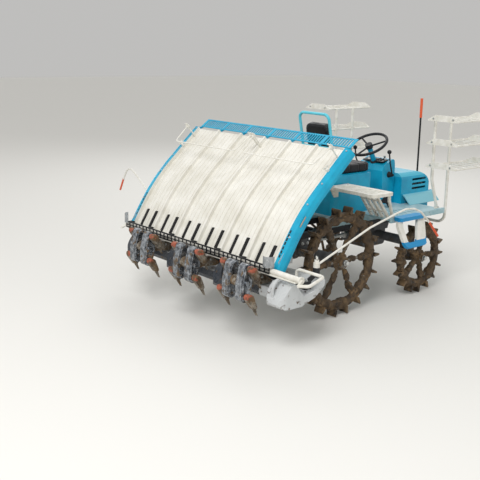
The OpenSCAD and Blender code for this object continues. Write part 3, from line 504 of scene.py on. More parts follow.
def facing(at, direction, spin=0.0, scale=1.0):
    """The matrix that puts a pattern at a point with its own Z axis along a direction."""
    turn = Vector(direction).to_track_quat("Z", "Y").to_matrix().to_4x4()
    return Matrix.Translation(at) @ turn @ Matrix.Rotation(spin, 4, "Z") @ Matrix.Scale(scale, 4)


def repeat(name, pattern, matrices):
    """Joins a copy of the pattern at each place into one new piece."""
    joined = bmesh.new()
    for matrix in matrices:
        copy = pattern.data.copy()
        copy.transform(matrix)
        if matrix.determinant() < 0:
            copy.flip_normals()
        joined.from_mesh(copy)
        bpy.data.meshes.remove(copy)
    data = bpy.data.meshes.new(name)
    joined.to_mesh(data)
    joined.free()
    piece = bpy.data.objects.new(name, data)
    bpy.context.scene.collection.objects.link(piece)
    return piece


def discard(*patterns):
    """Removes patterns that were only there to be copied."""
    for pattern in patterns:
        bpy.data.objects.remove(pattern, do_unlink=True)


print("copying helpers ready")

# %% [markdown]
# The seat is foam under black vinyl. A real cushion bulges between its corners because the foam
# pushes the cover outwards, so the pad is blown up a little by a cloth simulation. It starts from
# the CAD solid, drawn in by a few millimetres and remeshed to an even net of 6 mm. Seams come last,
# because a remesh would swallow them.

# %% Stuffed pads


def stuffed(name, node, swell):
    """A pad grown from a CAD solid by a cloth simulation with inner pressure."""
    pad = bpy.data.objects.new(name, nodes[node].data.copy())
    bpy.context.scene.collection.objects.link(pad)
    only(pad)
    bpy.ops.object.mode_set(mode="EDIT")
    bpy.ops.mesh.select_all(action="SELECT")
    bpy.ops.mesh.remove_doubles(threshold=0.0001)
    object_mode()
    middle = sum((Vector(c) for c in pad.bound_box), Vector()) / 8
    for vertex in pad.data.vertices:
        away = vertex.co - middle
        vertex.co -= Vector([math.copysign(min(swell, abs(v)), v) for v in away])
    apply_modifier(pad, "REMESH", mode="VOXEL", voxel_size=0.006)
    rest = [v.co.copy() for v in pad.data.vertices]
    cloth = pad.modifiers.new("cloth", "CLOTH")
    cloth.settings.use_pressure = True
    cloth.settings.uniform_pressure_force = 4
    cloth.settings.effector_weights.gravity = 0
    cloth.settings.quality = 5
    for number in range(1, 21):
        bpy.context.scene.frame_set(number)
    only(pad)
    bpy.ops.object.modifier_apply(modifier="cloth")
    bpy.context.scene.frame_set(1)
    most = 0
    for vertex, home in zip(pad.data.vertices, rest):
        move = vertex.co - home
        if move.length > 2 * swell:
            vertex.co = home + move.normalized() * 2 * swell
        most = max(most, move.length)
    apply_modifier(pad, "SMOOTH", iterations=4, factor=0.5)
    print(name, "swelled by", round(min(most, 2 * swell) * 1000), "mm,", len(pad.data.vertices), "points")
    return pad


def sew(pad, lines, across, depth=0.006, width=0.007):
    """Presses sewn channels into a pad, along planes at given places of one axis."""
    for vertex in pad.data.vertices:
        gap = min(abs(vertex.co[across] - line) for line in lines)
        vertex.co -= vertex.normal * depth * math.exp(-(gap / width) ** 2)


cushion_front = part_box("seat_cushion")[0].x
cushion = stuffed("cushion", "seat_cushion", 0.005)
sew(cushion, [cushion_front + 0.12, cushion_front + 0.24, cushion_front + 0.33], 0)
back_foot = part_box("seat_back")[0].z
back = stuffed("backrest", "seat_back", 0.004)
sew(back, [back_foot + 0.13, back_foot + 0.24], 2)
for pad, node in ((cushion, "seat_cushion"), (back, "seat_back")):
    settle(pad, vinyl, "chassis", 60)
    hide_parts(node)

# %% [markdown]
# Bolts are the small parts that make a machine look real. One hexagon head with its washer is
# modelled once, by insetting and bevelling a six-sided cylinder, and then copied to every place.

# %% Bolt and screw patterns
bolt = start("cylinder", "bolt_pattern", vertices=6, radius=0.0105, depth=0.009, location=(0, 0, 0.0065))
place_in_mesh(bolt)
pick_faces(bolt, lambda centre, normal: normal.z > 0.9)
bpy.ops.mesh.inset(thickness=0.0012)
bpy.ops.transform.translate(value=(0, 0, 0.0012))
object_mode()
washer = start("cylinder", "washer_pattern", vertices=20, radius=0.013, depth=0.002, location=(0, 0, 0.001))
apply_modifier(place_in_mesh(washer), "BEVEL", width=0.0005, segments=1)
join("bolt_pattern", bolt, washer)

screw = start("cylinder", "screw_pattern", vertices=14, radius=0.006, depth=0.004, location=(0, 0, 0.002))
place_in_mesh(screw)
apply_modifier(screw, "BEVEL", width=0.0015, segments=2)
pick_faces(screw, lambda centre, normal: normal.z > 0.99)
bpy.ops.mesh.inset(thickness=0.0015)
bpy.ops.transform.translate(value=(0, 0, -0.0015))
object_mode()
print("bolt and screw modelled")

# %% [markdown]
# Caked mud has no plain faces. A cloud pattern pushes a piece's points in and out along their
# normals, and its size says how coarse the clods are.

# %% Lumps from a cloud pattern
clods = bpy.data.textures.new("clods", "CLOUDS")
clods.noise_depth = 3


def lump_up(piece, size, strength):
    """Pushes a piece's points along their normals by a cloud pattern of a given size."""
    clods.noise_scale = size
    return apply_modifier(piece, "DISPLACE", texture=clods, texture_coords="LOCAL", strength=strength,
                          mid_level=0.45)


print("lumps ready")

# %% [markdown]
# Each wheel gets an axle nut in its hub, and the mud that it has picked up. On the real wheel the
# mud sits between the lugs and hangs on the spokes in lumps. So a ring runs round the tyre's tube,
# each spoke carries two drawn-out balls, the hub one flat ball, and all of them are lumped up.

# %% Wheel mud and hub nuts
SIDES = (("left", 1), ("right", -1))
# Each axle's place, the radius of its wheels' tube, and their number of spokes
WHEELS = {"front": (1.05, 0.325, 0.235, 5), "rear": (0.0, 0.45, 0.35, 6)}
TRACK_HALF, HUB_FACE = 0.6, 0.064
# Degrees that the spokes are turned by
SPOKE_TURN = {"left": 40, "right": 0}
# Real caked mud, with its tones darkened past the mud's own colour as painted shade under the machine
caked_mud_and_shade = surface("caked field mud, wet and dry, darkened by painted shade", ("#31281f", "#604e3a"), (0.45, 0.85), 70, 4.0, 1.5,
                    mud=all_over(0.1))
for axle, (x, z, ring, spokes) in WHEELS.items():
    for side, sign in SIDES:
        mud = start("torus", f"mud_{axle}_{side}", major_radius=ring + 0.012, minor_radius=0.036,
                    major_segments=150, minor_segments=18)
        mud.scale = (1, 1, 0.9)
        place_in_mesh(mud)
        lump_up(mud, 0.06, 0.055)
        parts = [mud]
        for i in range(spokes):
            angle = 2 * math.pi * i / spokes
            for reach, size in ((0.42, 0.034), (0.78, 0.04)):
                lump = start("ico_sphere", "lump", subdivisions=4, radius=size,
                             location=(math.cos(angle) * ring * reach, math.sin(angle) * ring * reach,
                                       0.008 * math.sin(7 * i + 9 * reach)),
                             rotation=(0, 0, angle))
                lump.scale = (1.9 + 0.4 * math.sin(5 * i), 0.72, 0.62)
                place_in_mesh(lump)
                lump_up(lump, 0.035, 0.03)
                parts.append(lump)
        hub = start("uv_sphere", "hub_mud", segments=32, ring_count=16, radius=0.062)
        hub.scale = (1.12, 1.12, 0.5)
        place_in_mesh(hub)
        lump_up(hub, 0.045, 0.035)
        join(mud.name, *parts, hub)
        mud.rotation_euler = (math.pi / 2, math.radians(SPOKE_TURN[side]), 0)
        mud.location = (x, sign * TRACK_HALF, z)
        settle(mud, caked_mud_and_shade, f"{axle}_wheel_{side}", 80)
        hub_face = (x, sign * (TRACK_HALF + HUB_FACE), z)
        nut = repeat(f"hub_nut_{axle}_{side}", bolt, [facing(hub_face, (0, sign, 0), 0.3, 1.9)])
        settle(nut, plated_steel, f"{axle}_wheel_{side}")
print("wheels have their mud")

# %% [markdown]
# The rotor cases are the shiny kidney-shaped castings at the tray's foot. Their outline is the hull
# of three circles. Each point of a disc's rim is moved out to the hull's farthest point in its own
# direction, which gives a face of that outline.

# %% Outline of the rotor cases


def outline_point(direction, circles):
    """The point of the circles' common hull that lies farthest along a direction."""
    best = max(circles, key=lambda c: c[0].dot(direction) + c[1])
    return best[0] + direction * best[1]


def hull_disc(name, circles, corners=72):
    """A flat face whose rim follows the hull of some circles, in its own XY plane."""
    disc = start("circle", name, vertices=corners, radius=1, fill_type="NGON")
    for vertex in disc.data.vertices:
        vertex.co = outline_point(vertex.co.normalized(), circles)
    return disc


CASE_CIRCLES = [(Vector((0, 0, 0)), 0.048), (Vector((0, 0.1, 0)), 0.036), (Vector((0, -0.1, 0)), 0.036)]
print("a case is hulled from", len(CASE_CIRCLES), "circles")

# %% [markdown]
# A case's cover is the outline face, extruded and inset twice, which leaves a raised edge and a
# sunk middle. Ten screws follow the edge and a boss sits on the cross shaft. The pattern is copied
# to both sides of both cases of each rotor, tilted as the cases stand.

# %% Rotor covers
ROTOR = Vector((-1.1, 0, 0.49))
CASE_TILT, ARM_REACH = math.radians(7.5), 0.1
ROTOR_UP = Vector((ARM_REACH * math.sin(CASE_TILT), 0, ARM_REACH * math.cos(CASE_TILT)))
CASES = (("left", 0.6), ("centre", 0.0), ("right", -0.6))
# From the rotor's middle to a case's middle, and from there to its face
CASE_OUT, CASE_FACE = 0.074, 0.033
SCREWS = 10
cover = hull_disc("cover_pattern", CASE_CIRCLES)
pick_faces(cover, lambda centre, normal: True)
bpy.ops.mesh.extrude_region_move(TRANSFORM_OT_translate={"value": (0, 0, 0.004)})
bpy.ops.mesh.inset(thickness=0.009)
bpy.ops.transform.translate(value=(0, 0, 0.004))
bpy.ops.mesh.inset(thickness=0.004)
bpy.ops.transform.translate(value=(0, 0, -0.002))
close_up()
inner_circles = [(centre, radius - 0.0055) for centre, radius in CASE_CIRCLES]
angles = [math.radians(18 + 360 * i / SCREWS) for i in range(SCREWS)]
ring = [outline_point(Vector((math.cos(a), math.sin(a), 0)), inner_circles) for a in angles]
screws = repeat("cover_screws", screw, [Matrix.Translation(p + Vector((0, 0, 0.004))) for p in ring])
boss = start("cylinder", "boss_pattern", vertices=32, radius=0.021, depth=0.012, location=(0, 0, 0.008))
apply_modifier(place_in_mesh(boss), "BEVEL", width=0.0025, segments=2)
join("cover_pattern", cover, screws, boss)
tilt = Vector((0, 0, 1)).rotation_difference(ROTOR_UP).to_matrix().to_4x4()
for place, y in CASES:
    spots = []
    for end in (-1, 1):
        for way in (-1, 1):
            face_y = y + end * CASE_OUT + way * CASE_FACE
            upright = Matrix.Rotation(way * -math.pi / 2, 4, "X")
            spots.append(Matrix.Translation((ROTOR.x, face_y, ROTOR.z)) @ tilt @ upright)
    covers = repeat(f"rotor_covers_{place}", cover, spots)
    settle(covers, wet_alloy_and_glints, f"rotor_{place}")
discard(cover)
print("rotor covers made")

# %% [markdown]
# Each planting arm wears an orange cap on its pivot. It is a rounded block with a saddle across its
# top, so it looks like two lobes. It is cut from an outline and remeshed finely. Then its points
# are pressed down along the saddle and lumped up a little for the mud on it.

# %% Pattern of the arm caps
LOBES = [(Vector((x, z, 0)), 0.017) for x, z in ((0.003, 0.014), (-0.017, 0.0165), (-0.017, 0.007),
                                                 (0.003, 0.007))]
angles = [math.radians(10 * i) for i in range(36)]
cap_rim = [outline_point(Vector((math.cos(a), math.sin(a), 0)), LOBES) for a in angles]
cap = plate("cap_pattern", [(p.x, p.y) for p in cap_rim], 0.056, 0.005)
moved(cap, Matrix.Rotation(math.pi / 2, 4, "X") @ Matrix.Translation((0, 0, -0.028)))
apply_modifier(cap, "REMESH", mode="VOXEL", voxel_size=0.0035)
for vertex in cap.data.vertices:
    if vertex.co.z > 0.018:
        vertex.co.z -= 0.004 * math.exp(-((vertex.co.y + 0.002) / 0.006) ** 2)
lump_up(cap, 0.012, 0.004)
apply_modifier(cap, "SMOOTH", iterations=3, factor=0.5)
print("cap pattern of", len(cap.data.polygons), "faces")

# %% [markdown]
# The arms' sides are closed by flat covers with four screws each. Caps and covers are then copied
# to all twelve arms, and each copy rides on its own set of arms, because the sets turn round the
# rotor one behind the other.

# %% Arm caps and side covers
ARM_HALF, ROW_OUT = 0.022, 0.15
side_cover = hull_disc("side_cover", [(Vector((0, 0, 0)), 0.022), (Vector((0.040, -0.068, 0)), 0.013)], 40)
pick_faces(side_cover, lambda centre, normal: True)
bpy.ops.mesh.extrude_region_move(TRANSFORM_OT_translate={"value": (0, 0, 0.003)})
bpy.ops.mesh.inset(thickness=0.003)
bpy.ops.transform.translate(value=(0, 0, 0.0015))
close_up()
corners = [(0.0, 0.014), (-0.013, -0.006), (0.046, -0.072), (0.031, -0.064)]
arm_screws = repeat("arm_screws", screw, [Matrix.Translation((x, z, 0.0035)) @ Matrix.Scale(0.8, 4)
                                          for x, z in corners])
join("side_cover", side_cover, arm_screws)
for place, y in CASES:
    for letter, end in (("a", 1), ("b", -1)):
        pivot = ROTOR + ROTOR_UP * end
        caps = []
        sides = []
        for way in (-1, 1):
            row = y + way * ROW_OUT
            caps.append(Matrix.Translation((pivot.x, row, pivot.z)))
            for face in (-1, 1):
                flip = Matrix.Rotation(math.pi / 2, 4, "X")
                if face > 0:
                    flip = Matrix.Scale(-1, 4, (0, 1, 0)) @ flip
                sides.append(Matrix.Translation((pivot.x, row + face * ARM_HALF, pivot.z)) @ flip)
        body = f"arms_{place}_{letter}"
        settle(repeat(f"arm_caps_{place}_{letter}", cap, caps), cap_orange, body)
        settle(repeat(f"arm_covers_{place}_{letter}", side_cover, sides), muddy_alloy, body)
discard(cap, side_cover)
print("arms have caps and covers")

# %% [markdown]
# The tray runs straight at its foot, then round a bend of 1.62 m, and straight again at its top.
# What lies on it is placed in a frame of its own: X up the slope, Y to the side, Z off the surface.

# %% Frames along the tray
TRAY_SHIFT = 0.14
LOW_FRAME = Matrix.Translation((-0.915, 0, 0.56)) @ Matrix.Rotation(math.radians(-59), 4, "Y")
TOP_FRAME = Matrix.Translation((-0.49707, 0, 1.11811)) @ Matrix.Rotation(math.radians(-42), 4, "Y")
BEND_CENTRE, BEND_R = Vector((0.58692, 0, -0.08578)), 1.62


def bend_frame(degrees):
    """The tray's frame on its bend, some degrees above the lower straight part."""
    slope = 59 - degrees
    a = math.radians(90 + slope)
    spot = BEND_CENTRE + BEND_R * Vector((math.cos(a), 0, math.sin(a)))
    return Matrix.Translation(spot) @ Matrix.Rotation(math.radians(-slope), 4, "Y")


print("the bend starts at", [round(v, 3) for v in bend_frame(0).translation])

# %% [markdown]
# The tray's lanes each have two black feed belts at the lower end, which draw the lane's load down.
# A belt is a flat loop with cross ribs. It is modelled lying along X, with one rib that is copied,
# and then turned to the tray's slope.

# %% Feed belts
LANES, LANE_WIDTH = 6, 0.3
RIB_STEP = 0.0123
belt_rubber = surface("black rubber belt, ribbed", ("#141415", "#212123"), (0.5, 0.7), 30, 1.0, 0.1,
                      mud=(0.4, 0.7, 0.0))
loop = []
for pulley, first in ((0.05, 90), (0.185, -90)):
    for a in [math.radians(first + 20 * i) for i in range(10)]:
        loop.append((pulley + 0.013 * math.cos(a), 0.013 * math.sin(a)))
belt = plate("belt_pattern", loop, 0.026, 0.0015)
moved(belt, Matrix.Rotation(math.pi / 2, 4, "X") @ Matrix.Translation((0, 0, -0.013)))
rib = block("rib_pattern", (-0.0022, -0.0125, 0.012), (0.0022, 0.0125, 0.0165), 0.0012, 1)
ribs = repeat("belt_ribs", rib, [Matrix.Translation((0.05 + RIB_STEP * i, 0, 0)) for i in range(12)])
discard(rib)
join("belt_pattern", belt, ribs)
spots = [LOW_FRAME @ Matrix.Translation((0, TRAY_SHIFT + (lane - 2.5) * LANE_WIDTH + way * 0.06, -0.032))
         for lane in range(LANES) for way in (-1, 1)]
settle(repeat("feed_belts", belt, spots), belt_rubber, "tray")
discard(belt)
print(len(spots), "feed belts")

# %% [markdown]
# The wire bails over the lanes hang in small white clamps, each locked by a wing nut. The wings
# are balls that are flattened and set at an angle, and the block has a bevelled edge. The same
# clamp serves as the latch of the bails and as the knob on the markers' pins.

# %% Clamps of the press rods
clamp = block("clamp_pattern", (-0.015, -0.011, -0.016), (0.015, 0.011, 0.012), 0.003)
wings = []
for way in (-1, 1):
    wing = start("uv_sphere", "wing", segments=16, ring_count=10, radius=0.012,
                 location=(0, way * 0.013, 0.026), rotation=(way * 0.6, 0, 0))
    wing.scale = (0.28, 0.9, 1.0)
    wings.append(place_in_mesh(wing))
stem = start("cylinder", "stem", vertices=16, radius=0.006, depth=0.016, location=(0, 0, 0.018))
apply_modifier(place_in_mesh(stem), "BEVEL", width=0.001, segments=2)
join("clamp_pattern", clamp, stem, *wings)
spots = [TOP_FRAME @ Matrix.Translation((0.33, TRAY_SHIFT + y, 0.105)) for y in (-0.88, -0.016, 0.016, 0.88)]
for side, sign in SIDES:
    latch = Matrix.Translation((0.185, TRAY_SHIFT + sign * 0.895, 0.016)) @ Matrix.Rotation(1.3, 4, "Z")
    spots.append(TOP_FRAME @ latch)
settle(repeat("rod_clamps", clamp, spots), white_abs, "tray")
for side, sign in SIDES:
    pin_top = Matrix.Translation((MARKER_PIN.x, sign * MARKER_PIN.y, 0.636))
    spot = pin_top @ Matrix.Rotation(sign * 0.5, 4, "Z")
    settle(repeat(f"marker_knob_{side}", clamp, [spot]), white_abs, f"marker_{side}")
discard(clamp)
print("clamps and marker knobs")

# %% [markdown]
# Along the foot of each side rail runs a row of slots. Thin black plates on the turquoise paint the
# shade inside them. Higher up sits a small bare plate. The rail's surface leans outwards, so slots
# and plate are tilted with it, and each takes the tray's frame at its own place, which follows the bend.

# %% Slots as painted shade, and plates on the side rails
RAIL_INNER, RAIL_LEAN = 0.911, -0.2
PLATE_OUT, PLATE_LEAN = 0.9545, -0.32
slot_rim = [(-0.011, -0.006), (0.011, -0.006), (0.013, 0.0), (0.011, 0.006), (-0.011, 0.006), (-0.013, 0.0)]
slot_shade_piece = plate("slot_shade_pattern", slot_rim, 0.003, 0.0008)
bare_plate = surface("aluminium plate, bare and weathered", ("#a08f78", "#b7aa97"), (0.4, 0.6), 20, 1.0,
                     0.05, metallic=0.3)
for side, sign in SIDES:
    lean = Matrix.Rotation(sign * RAIL_LEAN, 4, "X")
    on_rail = Matrix.Translation((0, TRAY_SHIFT + sign * RAIL_INNER, -0.0015)) @ lean
    spots = [LOW_FRAME @ Matrix.Translation((s, 0, 0)) @ on_rail for s in (0.125, 0.157, 0.189)]
    spots += [bend_frame(a) @ on_rail for a in (0.2, 1.3, 2.4, 3.5)]
    # Black plates raised on the rail paint the shade inside the slots
    settle(repeat(f"rail_slot_shades_{side}", slot_shade_piece, spots), belt_rubber, "tray")
    name_plate = block(f"rail_plate_{side}", (-0.045, -0.0015, -0.012), (0.045, 0.0015, 0.012), 0.0012)
    lean = Matrix.Rotation(sign * PLATE_LEAN, 4, "X")
    moved(name_plate, bend_frame(7.2) @ Matrix.Translation((0, TRAY_SHIFT + sign * PLATE_OUT, -0.026)) @ lean)
    settle(name_plate, bare_plate, "tray")
discard(slot_shade_piece)
print("rails have slots and bare plates")

# %% [markdown]
# At the foot of each rail a clear guard of bent acrylic closes off the corner, and a grey
# splash plate hangs behind it. The guard is a sheet bent round the corner, 3 mm thick: its outline
# runs along one arc and back along a smaller one, and is extruded upwards.

# %% Corner guards and splash plates
acrylic = surface("smoky acrylic, scratched", ("#a9adb0", "#c4c8ca"), (0.12, 0.3), 30, 3.0, 0.2)
acrylic.node_tree.nodes["Principled BSDF"].inputs["Transmission Weight"].default_value = 0.45
splash_steel = surface("grey sheet steel under splashes", ("#9da1a3", "#bfc2c2"), (0.4, 0.6), 30, 2.0, 0.2,
                       mud=(0.4, 0.9, 0.05))
turns = [math.radians(-35 + 16 * i) for i in range(9)]
arc = [(-0.93 - 0.055 * math.cos(a), 0.755 + 0.045 * math.sin(a)) for a in turns]
arc_back = [(-0.93 - 0.052 * math.cos(a), 0.755 + 0.042 * math.sin(a)) for a in reversed(turns)]
splash_rim = [(-0.875, 0.602), (-0.74, 0.602), (-0.735, 0.64), (-0.775, 0.69), (-0.83, 0.69), (-0.88, 0.63)]
for side, sign in SIDES:
    guard = plate(f"corner_guard_{side}", arc + arc_back, 0.08)
    flip = Matrix.Scale(-1, 4, (0, 1, 0)) if sign < 0 else Matrix.Identity(4)
    shift = Matrix.Translation((0, TRAY_SHIFT + sign * 0.14, 0.6))
    settle(moved(guard, shift @ flip), acrylic, "tray")
    splash = plate(f"splash_plate_{side}", splash_rim, 0.003, 0.001)
    moved(splash, Matrix.Translation((0, TRAY_SHIFT + sign * 0.93, 0)) @ Matrix.Rotation(math.pi / 2, 4, "X"))
    settle(splash, splash_steel, "tray")
print("corner guards and splash plates")

# %% [markdown]
# The bonnet gets its lamps and its nose grille. A lamp is a bezel with a sunk clear lens. The
# grille's bars are one bevelled bar, copied across the opening.

# %% Lamps and nose grille
lens = surface("clear polycarbonate over a reflector", ("#cfd6da", "#e8ecee"), (0.05, 0.12), 12, 4.0, 0.6,
               coat=1.0)
bar = block("bar_pattern", (0.0, -0.118, -0.003), (0.012, 0.118, 0.003), 0.0015)
bars = repeat("nose_grille", bar, [Matrix.Translation((1.639, 0, 0.736 + 0.0152 * i)) for i in range(6)])
settle(bars, black_abs, "chassis")
discard(bar)
for side, sign in SIDES:
    bezel = block(f"lamp_bezel_{side}", (0, -0.055, -0.028), (0.012, 0.055, 0.028), 0.009, 3)
    pick_faces(bezel, lambda centre, normal: normal.x > 0.95)
    bpy.ops.mesh.inset(thickness=0.006)
    bpy.ops.transform.translate(value=(-0.006, 0, 0))
    object_mode()
    glass = start("uv_sphere", f"lamp_lens_{side}", segments=40, ring_count=20, radius=1)
    glass.scale = (0.009, 0.046, 0.02)
    place_in_mesh(glass)
    spot = Matrix.Translation((1.647, sign * 0.14, 0.868)) @ Matrix.Rotation(math.radians(-3), 4, "Y")
    settle(moved(bezel, spot), black_abs, "chassis")
    settle(moved(glass, spot @ Matrix.Translation((0.004, 0, 0))), lens, "chassis")
print("lamps and grille")

# %% [markdown]
# A rubber boot closes the dash where the steering column enters it, and a gaiter sits under each
# lever. A boot is a lathe shape, so its outline of folds is spun round the axis, and the doubled
# points of the last step are merged.

# %% Spun boots
boot_rubber = surface("black rubber boot", ("#17171a", "#232326"), (0.5, 0.65), 30, 1.2, 0.1)


def spun(name, outline, steps=36):
    """A closed lathe shape: an outline of (radius, height) points spun round the Z axis."""
    piece = start("circle", name, vertices=len(outline), radius=1)
    for vertex, (r, z) in zip(piece.data.vertices, outline):
        vertex.co = (r, 0, z)
    only(piece)
    bpy.ops.object.mode_set(mode="EDIT")
    bpy.ops.mesh.select_all(action="SELECT")
    bpy.ops.mesh.spin(steps=steps, angle=2 * math.pi, center=(0, 0, 0), axis=(0, 0, 1))
    bpy.ops.mesh.select_all(action="SELECT")
    bpy.ops.mesh.remove_doubles(threshold=0.00005)
    close_up()
    return piece


def bellows(name, low_r, high_r, height, folds, inner):
    """A rubber boot: a tapering wall with folds, open inside for the lever."""
    steps = 2 * folds
    outside = []
    for i in range(steps + 1):
        fold = 0.004 if i % 2 else 0.0
        outside.append((low_r + (high_r - low_r) * i / steps - fold, height * i / steps))
    return spun(name, outside + [(inner, height), (inner, 0.0)])


column_boot = bellows("column_boot", 0.052, 0.032, 0.05, 4, 0.0225)
wheel_hub = Vector((1.005, 0, 1.275))
column = Vector((-0.5, 0, 0.8660254))
settle(moved(column_boot, facing(wheel_hub - column * 0.225, column)), boot_rubber, "chassis",
       50)
for side, sign in SIDES:
    gaiter = bellows(f"lever_boot_{side}", 0.03, 0.013, 0.05, 4, 0.0065)
    settle(moved(gaiter, facing((1.14, sign * 0.149, 1.0), (0, sign, 0))), boot_rubber, "chassis",
           50)
print("boots at the column and the levers")

# %% [markdown]
# The dash carries a panel with one dial, four rocker switches and a key. The panel is a block whose
# top is inset and sunk, the dial's bezel is spun, and a rocker is a block with one end raised.

# %% Instrument panel
dial_face = surface("black dial under glass", ("#101113", "#17181a"), (0.08, 0.15), 30, 2.0, 0.02, coat=1.0)
panel = block("instrument_panel", (-0.058, -0.12, 0), (0.058, 0.12, 0.012), 0.005, 3)
pick_faces(panel, lambda centre, normal: normal.z > 0.95)
bpy.ops.mesh.inset(thickness=0.006)
bpy.ops.transform.translate(value=(0, 0, -0.003))
object_mode()
PANEL = Matrix.Translation((1.135, 0, 1.119)) @ Matrix.Rotation(math.radians(-9.5), 4, "Y")
settle(moved(panel, PANEL), black_abs, "chassis")
bezel = spun("dial_bezel", [(0.032, 0.0), (0.036, 0.0), (0.036, 0.006), (0.033, 0.009), (0.030, 0.006)])
settle(moved(bezel, PANEL @ Matrix.Translation((0, 0.06, 0.008))), plated_steel, "chassis",
       50)
dial = start("cylinder", "dial", vertices=40, radius=0.0315, depth=0.006, location=(0, 0.06, 0.0105))
apply_modifier(place_in_mesh(dial), "BEVEL", width=0.001, segments=2)
settle(moved(dial, PANEL), dial_face, "chassis")
rocker = block("rocker_pattern", (-0.011, -0.0065, 0), (0.011, 0.0065, 0.009), 0.002)
for vertex in rocker.data.vertices:
    if vertex.co.z > 0.004:
        vertex.co.z += vertex.co.x * 0.25
rockers = repeat("rocker_switches", rocker, [PANEL @ Matrix.Translation((x, y, 0.008))
                                             for x in (0.02, -0.015) for y in (-0.03, -0.065)])
settle(rockers, boot_rubber, "chassis")
discard(rocker)
key = join("key", block("key", (-0.0015, -0.011, 0.02), (0.0015, 0.011, 0.045), 0.001),
           spun("lock", [(0.004, 0.0), (0.011, 0.0), (0.011, 0.02), (0.009, 0.022), (0.004, 0.022)]))
settle(moved(key, PANEL @ Matrix.Translation((0.0, -0.1, 0.008))), plated_steel, "chassis")
print("instrument panel")

# %% [markdown]
# Each pedal is a ribbed pad on an arm that rises from the deck. One rib is modelled and copied
# along the pad, and the whole pedal is tilted towards the seat.

# %% Pedals
for side, sign in SIDES:
    pad = block(f"pedal_{side}", (-0.04, -0.035, 0), (0.04, 0.035, 0.012), 0.003)
    rib = block("rib", (-0.0025, -0.03, 0.01), (0.0025, 0.03, 0.0145), 0.001, 1)
    pad_ribs = repeat("pedal_ribs", rib, [Matrix.Translation((-0.03 + 0.012 * i, 0, 0)) for i in range(6)])
    discard(rib)
    arm = block("pedal_arm", (-0.008, -0.008, -0.085), (0.008, 0.008, 0.002), 0.002)
    join(f"pedal_{side}", pad, pad_ribs, arm)
    spot = Matrix.Translation((0.965, sign * 0.27, 0.795)) @ Matrix.Rotation(math.radians(-38), 4, "Y")
    settle(moved(pad, spot), black_abs, "chassis")
print("pedals")

# %% [markdown]
# Bolts hold the frame, the lift, the rear steps and the racks. The list takes a place for each bolt
# and the way that its head faces, and all heads become one piece that rides on the chassis.

# %% Bolts on the chassis
chassis_bolts = []
for side, sign in SIDES:
    for x in (-0.03, 0.03):
        chassis_bolts.append(facing((x, sign * 0.202, 0.52), (0, sign, 0)))
    for x in (0.18, 0.58, 1.0, 1.4):
        chassis_bolts.append(facing((x, sign * 0.205, 0.585), (0, sign, 0), 0.2))
    for x, z in ((-0.062, 0.64), (-0.062, 0.78)):
        chassis_bolts.append(facing((x, sign * 0.04, z), (0, sign, 0), 0.4))
    for x in (0.215, 0.40):
        chassis_bolts.append(facing((x, sign * 0.30, 1.0), (0, 0, 1), 0.1, 0.8))
    chassis_bolts.append(facing((1.34, sign * 0.545, 0.739), (0, 0, 1), 0.3, 0.7))
    chassis_bolts.append(facing((1.34, sign * 0.575, 0.739), (0, 0, 1), 0.3, 0.7))
    for shelf in range(3):
        for x, way in ((1.09, -1), (1.71, 1)):
            for y in (0.64, 0.84):
                at = (x + way * 0.004, sign * y, 1.155 + shelf * 0.205)
                chassis_bolts.append(facing(at, (way, 0, 0), 0.2, 0.7))
settle(repeat("chassis_bolts", bolt, chassis_bolts), plated_steel, "chassis")
print(len(chassis_bolts), "bolts on the chassis")

# %% [markdown]
# The planting unit's bolts hold the cases to the cross beam, and the tray's smaller ones hold its
# rails. They are pieces of their own, because the unit lifts and the tray slides. The heads on the
# cases stay outside the circle that the rotors sweep.

# %% Bolts on the planting unit and the tray
unit_bolts = []
for place, y in CASES:
    for way in (-1, 1):
        unit_bolts.append(facing((-0.815, y + way * 0.028, 0.515), (-1, 0, 0), 0.2, 0.8))
    for way in (-1, 1):
        unit_bolts.append(facing((-0.80, y + way * 0.096, 0.50), (0, way, 0), 0.2, 0.8))
    for x, z in ((-0.885, 0.483), (-0.94, 0.484)):
        for way in (-1, 1):
            unit_bolts.append(facing((x, y + way * 0.03, z), (0, way, 0), 0.3, 0.7))
for y in (-0.96, -0.45, 0.45, 0.96):
    unit_bolts.append(facing((-0.76, y, 0.51), (0, 0, 1), 0.4, 0.9))
settle(repeat("unit_bolts", bolt, unit_bolts), plated_steel, "planting_unit")
rail_spots = [bend_frame(2), bend_frame(12)]
rail_spots += [TOP_FRAME @ Matrix.Translation((s, 0, 0)) for s in (0.06, 0.4)]
rail_bolts = []
for side, sign in SIDES:
    on_edge = Matrix.Translation((0, TRAY_SHIFT + sign * 0.926, -0.001))
    lean = Matrix.Rotation(sign * -0.25, 4, "X")
    rail_bolts += [spot @ on_edge @ lean @ Matrix.Scale(0.55, 4) for spot in rail_spots]
settle(repeat("rail_bolts", bolt, rail_bolts), plated_steel, "tray")
discard(bolt, screw)
print(len(unit_bolts) + len(rail_bolts), "bolts on the unit and the tray")
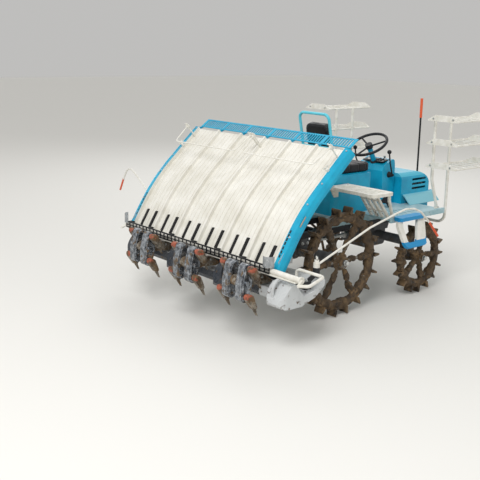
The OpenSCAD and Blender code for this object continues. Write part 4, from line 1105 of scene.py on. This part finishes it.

# %% [markdown]
# The floor is a wide pale sheet.

# %% Floor
bpy.ops.object.select_all(action="DESELECT")
bpy.ops.mesh.primitive_plane_add(size=80)
floor = bpy.context.object
floor.name = "floor"
floor_material, _, floor_shader = empty_material("pale matt floor")
floor_shader.inputs["Base Color"].default_value = linear("#e9e8e4")
floor_shader.inputs["Roughness"].default_value = 0.9
floor_shader.inputs["Specular IOR Level"].default_value = 0.1
floor.data.materials.append(floor_material)
print("floor laid")

# %% [markdown]
# A plain white world lights everything evenly. Light Path tells the rays apart, so that the world
# can be three strengths at once: soft light on the machine, a bright surround in what reflects,
# and for the camera just as bright as the floor is far away, so that no horizon cuts the picture.

# %% World
LIGHT, REFLECTED, FAR_FLOOR = 0.62, 0.95, 0.52
world = bpy.data.worlds.new("plain light")
world.use_nodes = True
tree = world.node_tree
tree.nodes.clear()
path = add(tree, "LightPath")
lit = add(tree, "MapRange", {"Value": path.outputs["Is Glossy Ray"]}, {"To Min": LIGHT, "To Max": REFLECTED})
strength = add(tree, "Mix", {0: path.outputs["Is Camera Ray"], 2: lit.outputs[0]}, {3: FAR_FLOOR})
sky = add(tree, "Background", {"Strength": strength.outputs[0]}, {"Color": (1, 0.992, 0.974, 1)})
add(tree, "OutputWorld", {"Surface": sky.outputs[0]})
bpy.context.scene.world = world
print("world light of strength", LIGHT)

# %% [markdown]
# Two broad lamps give form: the stronger one from behind right, on the camera's side, and a weak
# one from the front left that opens the shadows.

# %% Lamps


def soft_lamp(name, at, aim, size, power):
    """A square area lamp at a place, turned towards a point."""
    data = bpy.data.lights.new(name, "AREA")
    data.size = size
    data.energy = power
    lamp = bpy.data.objects.new(name, data)
    bpy.context.scene.collection.objects.link(lamp)
    lamp.location = at
    lamp.rotation_euler = (Vector(aim) - Vector(at)).to_track_quat("-Z", "Y").to_euler()
    return lamp


soft_lamp("key", (-5.5, -3.0, 7.0), (0, 0, 0.6), 4.0, 420)
soft_lamp("fill", (5.0, 5.0, 6.0), (0.4, 0, 0.6), 5.0, 160)
print("two lamps")
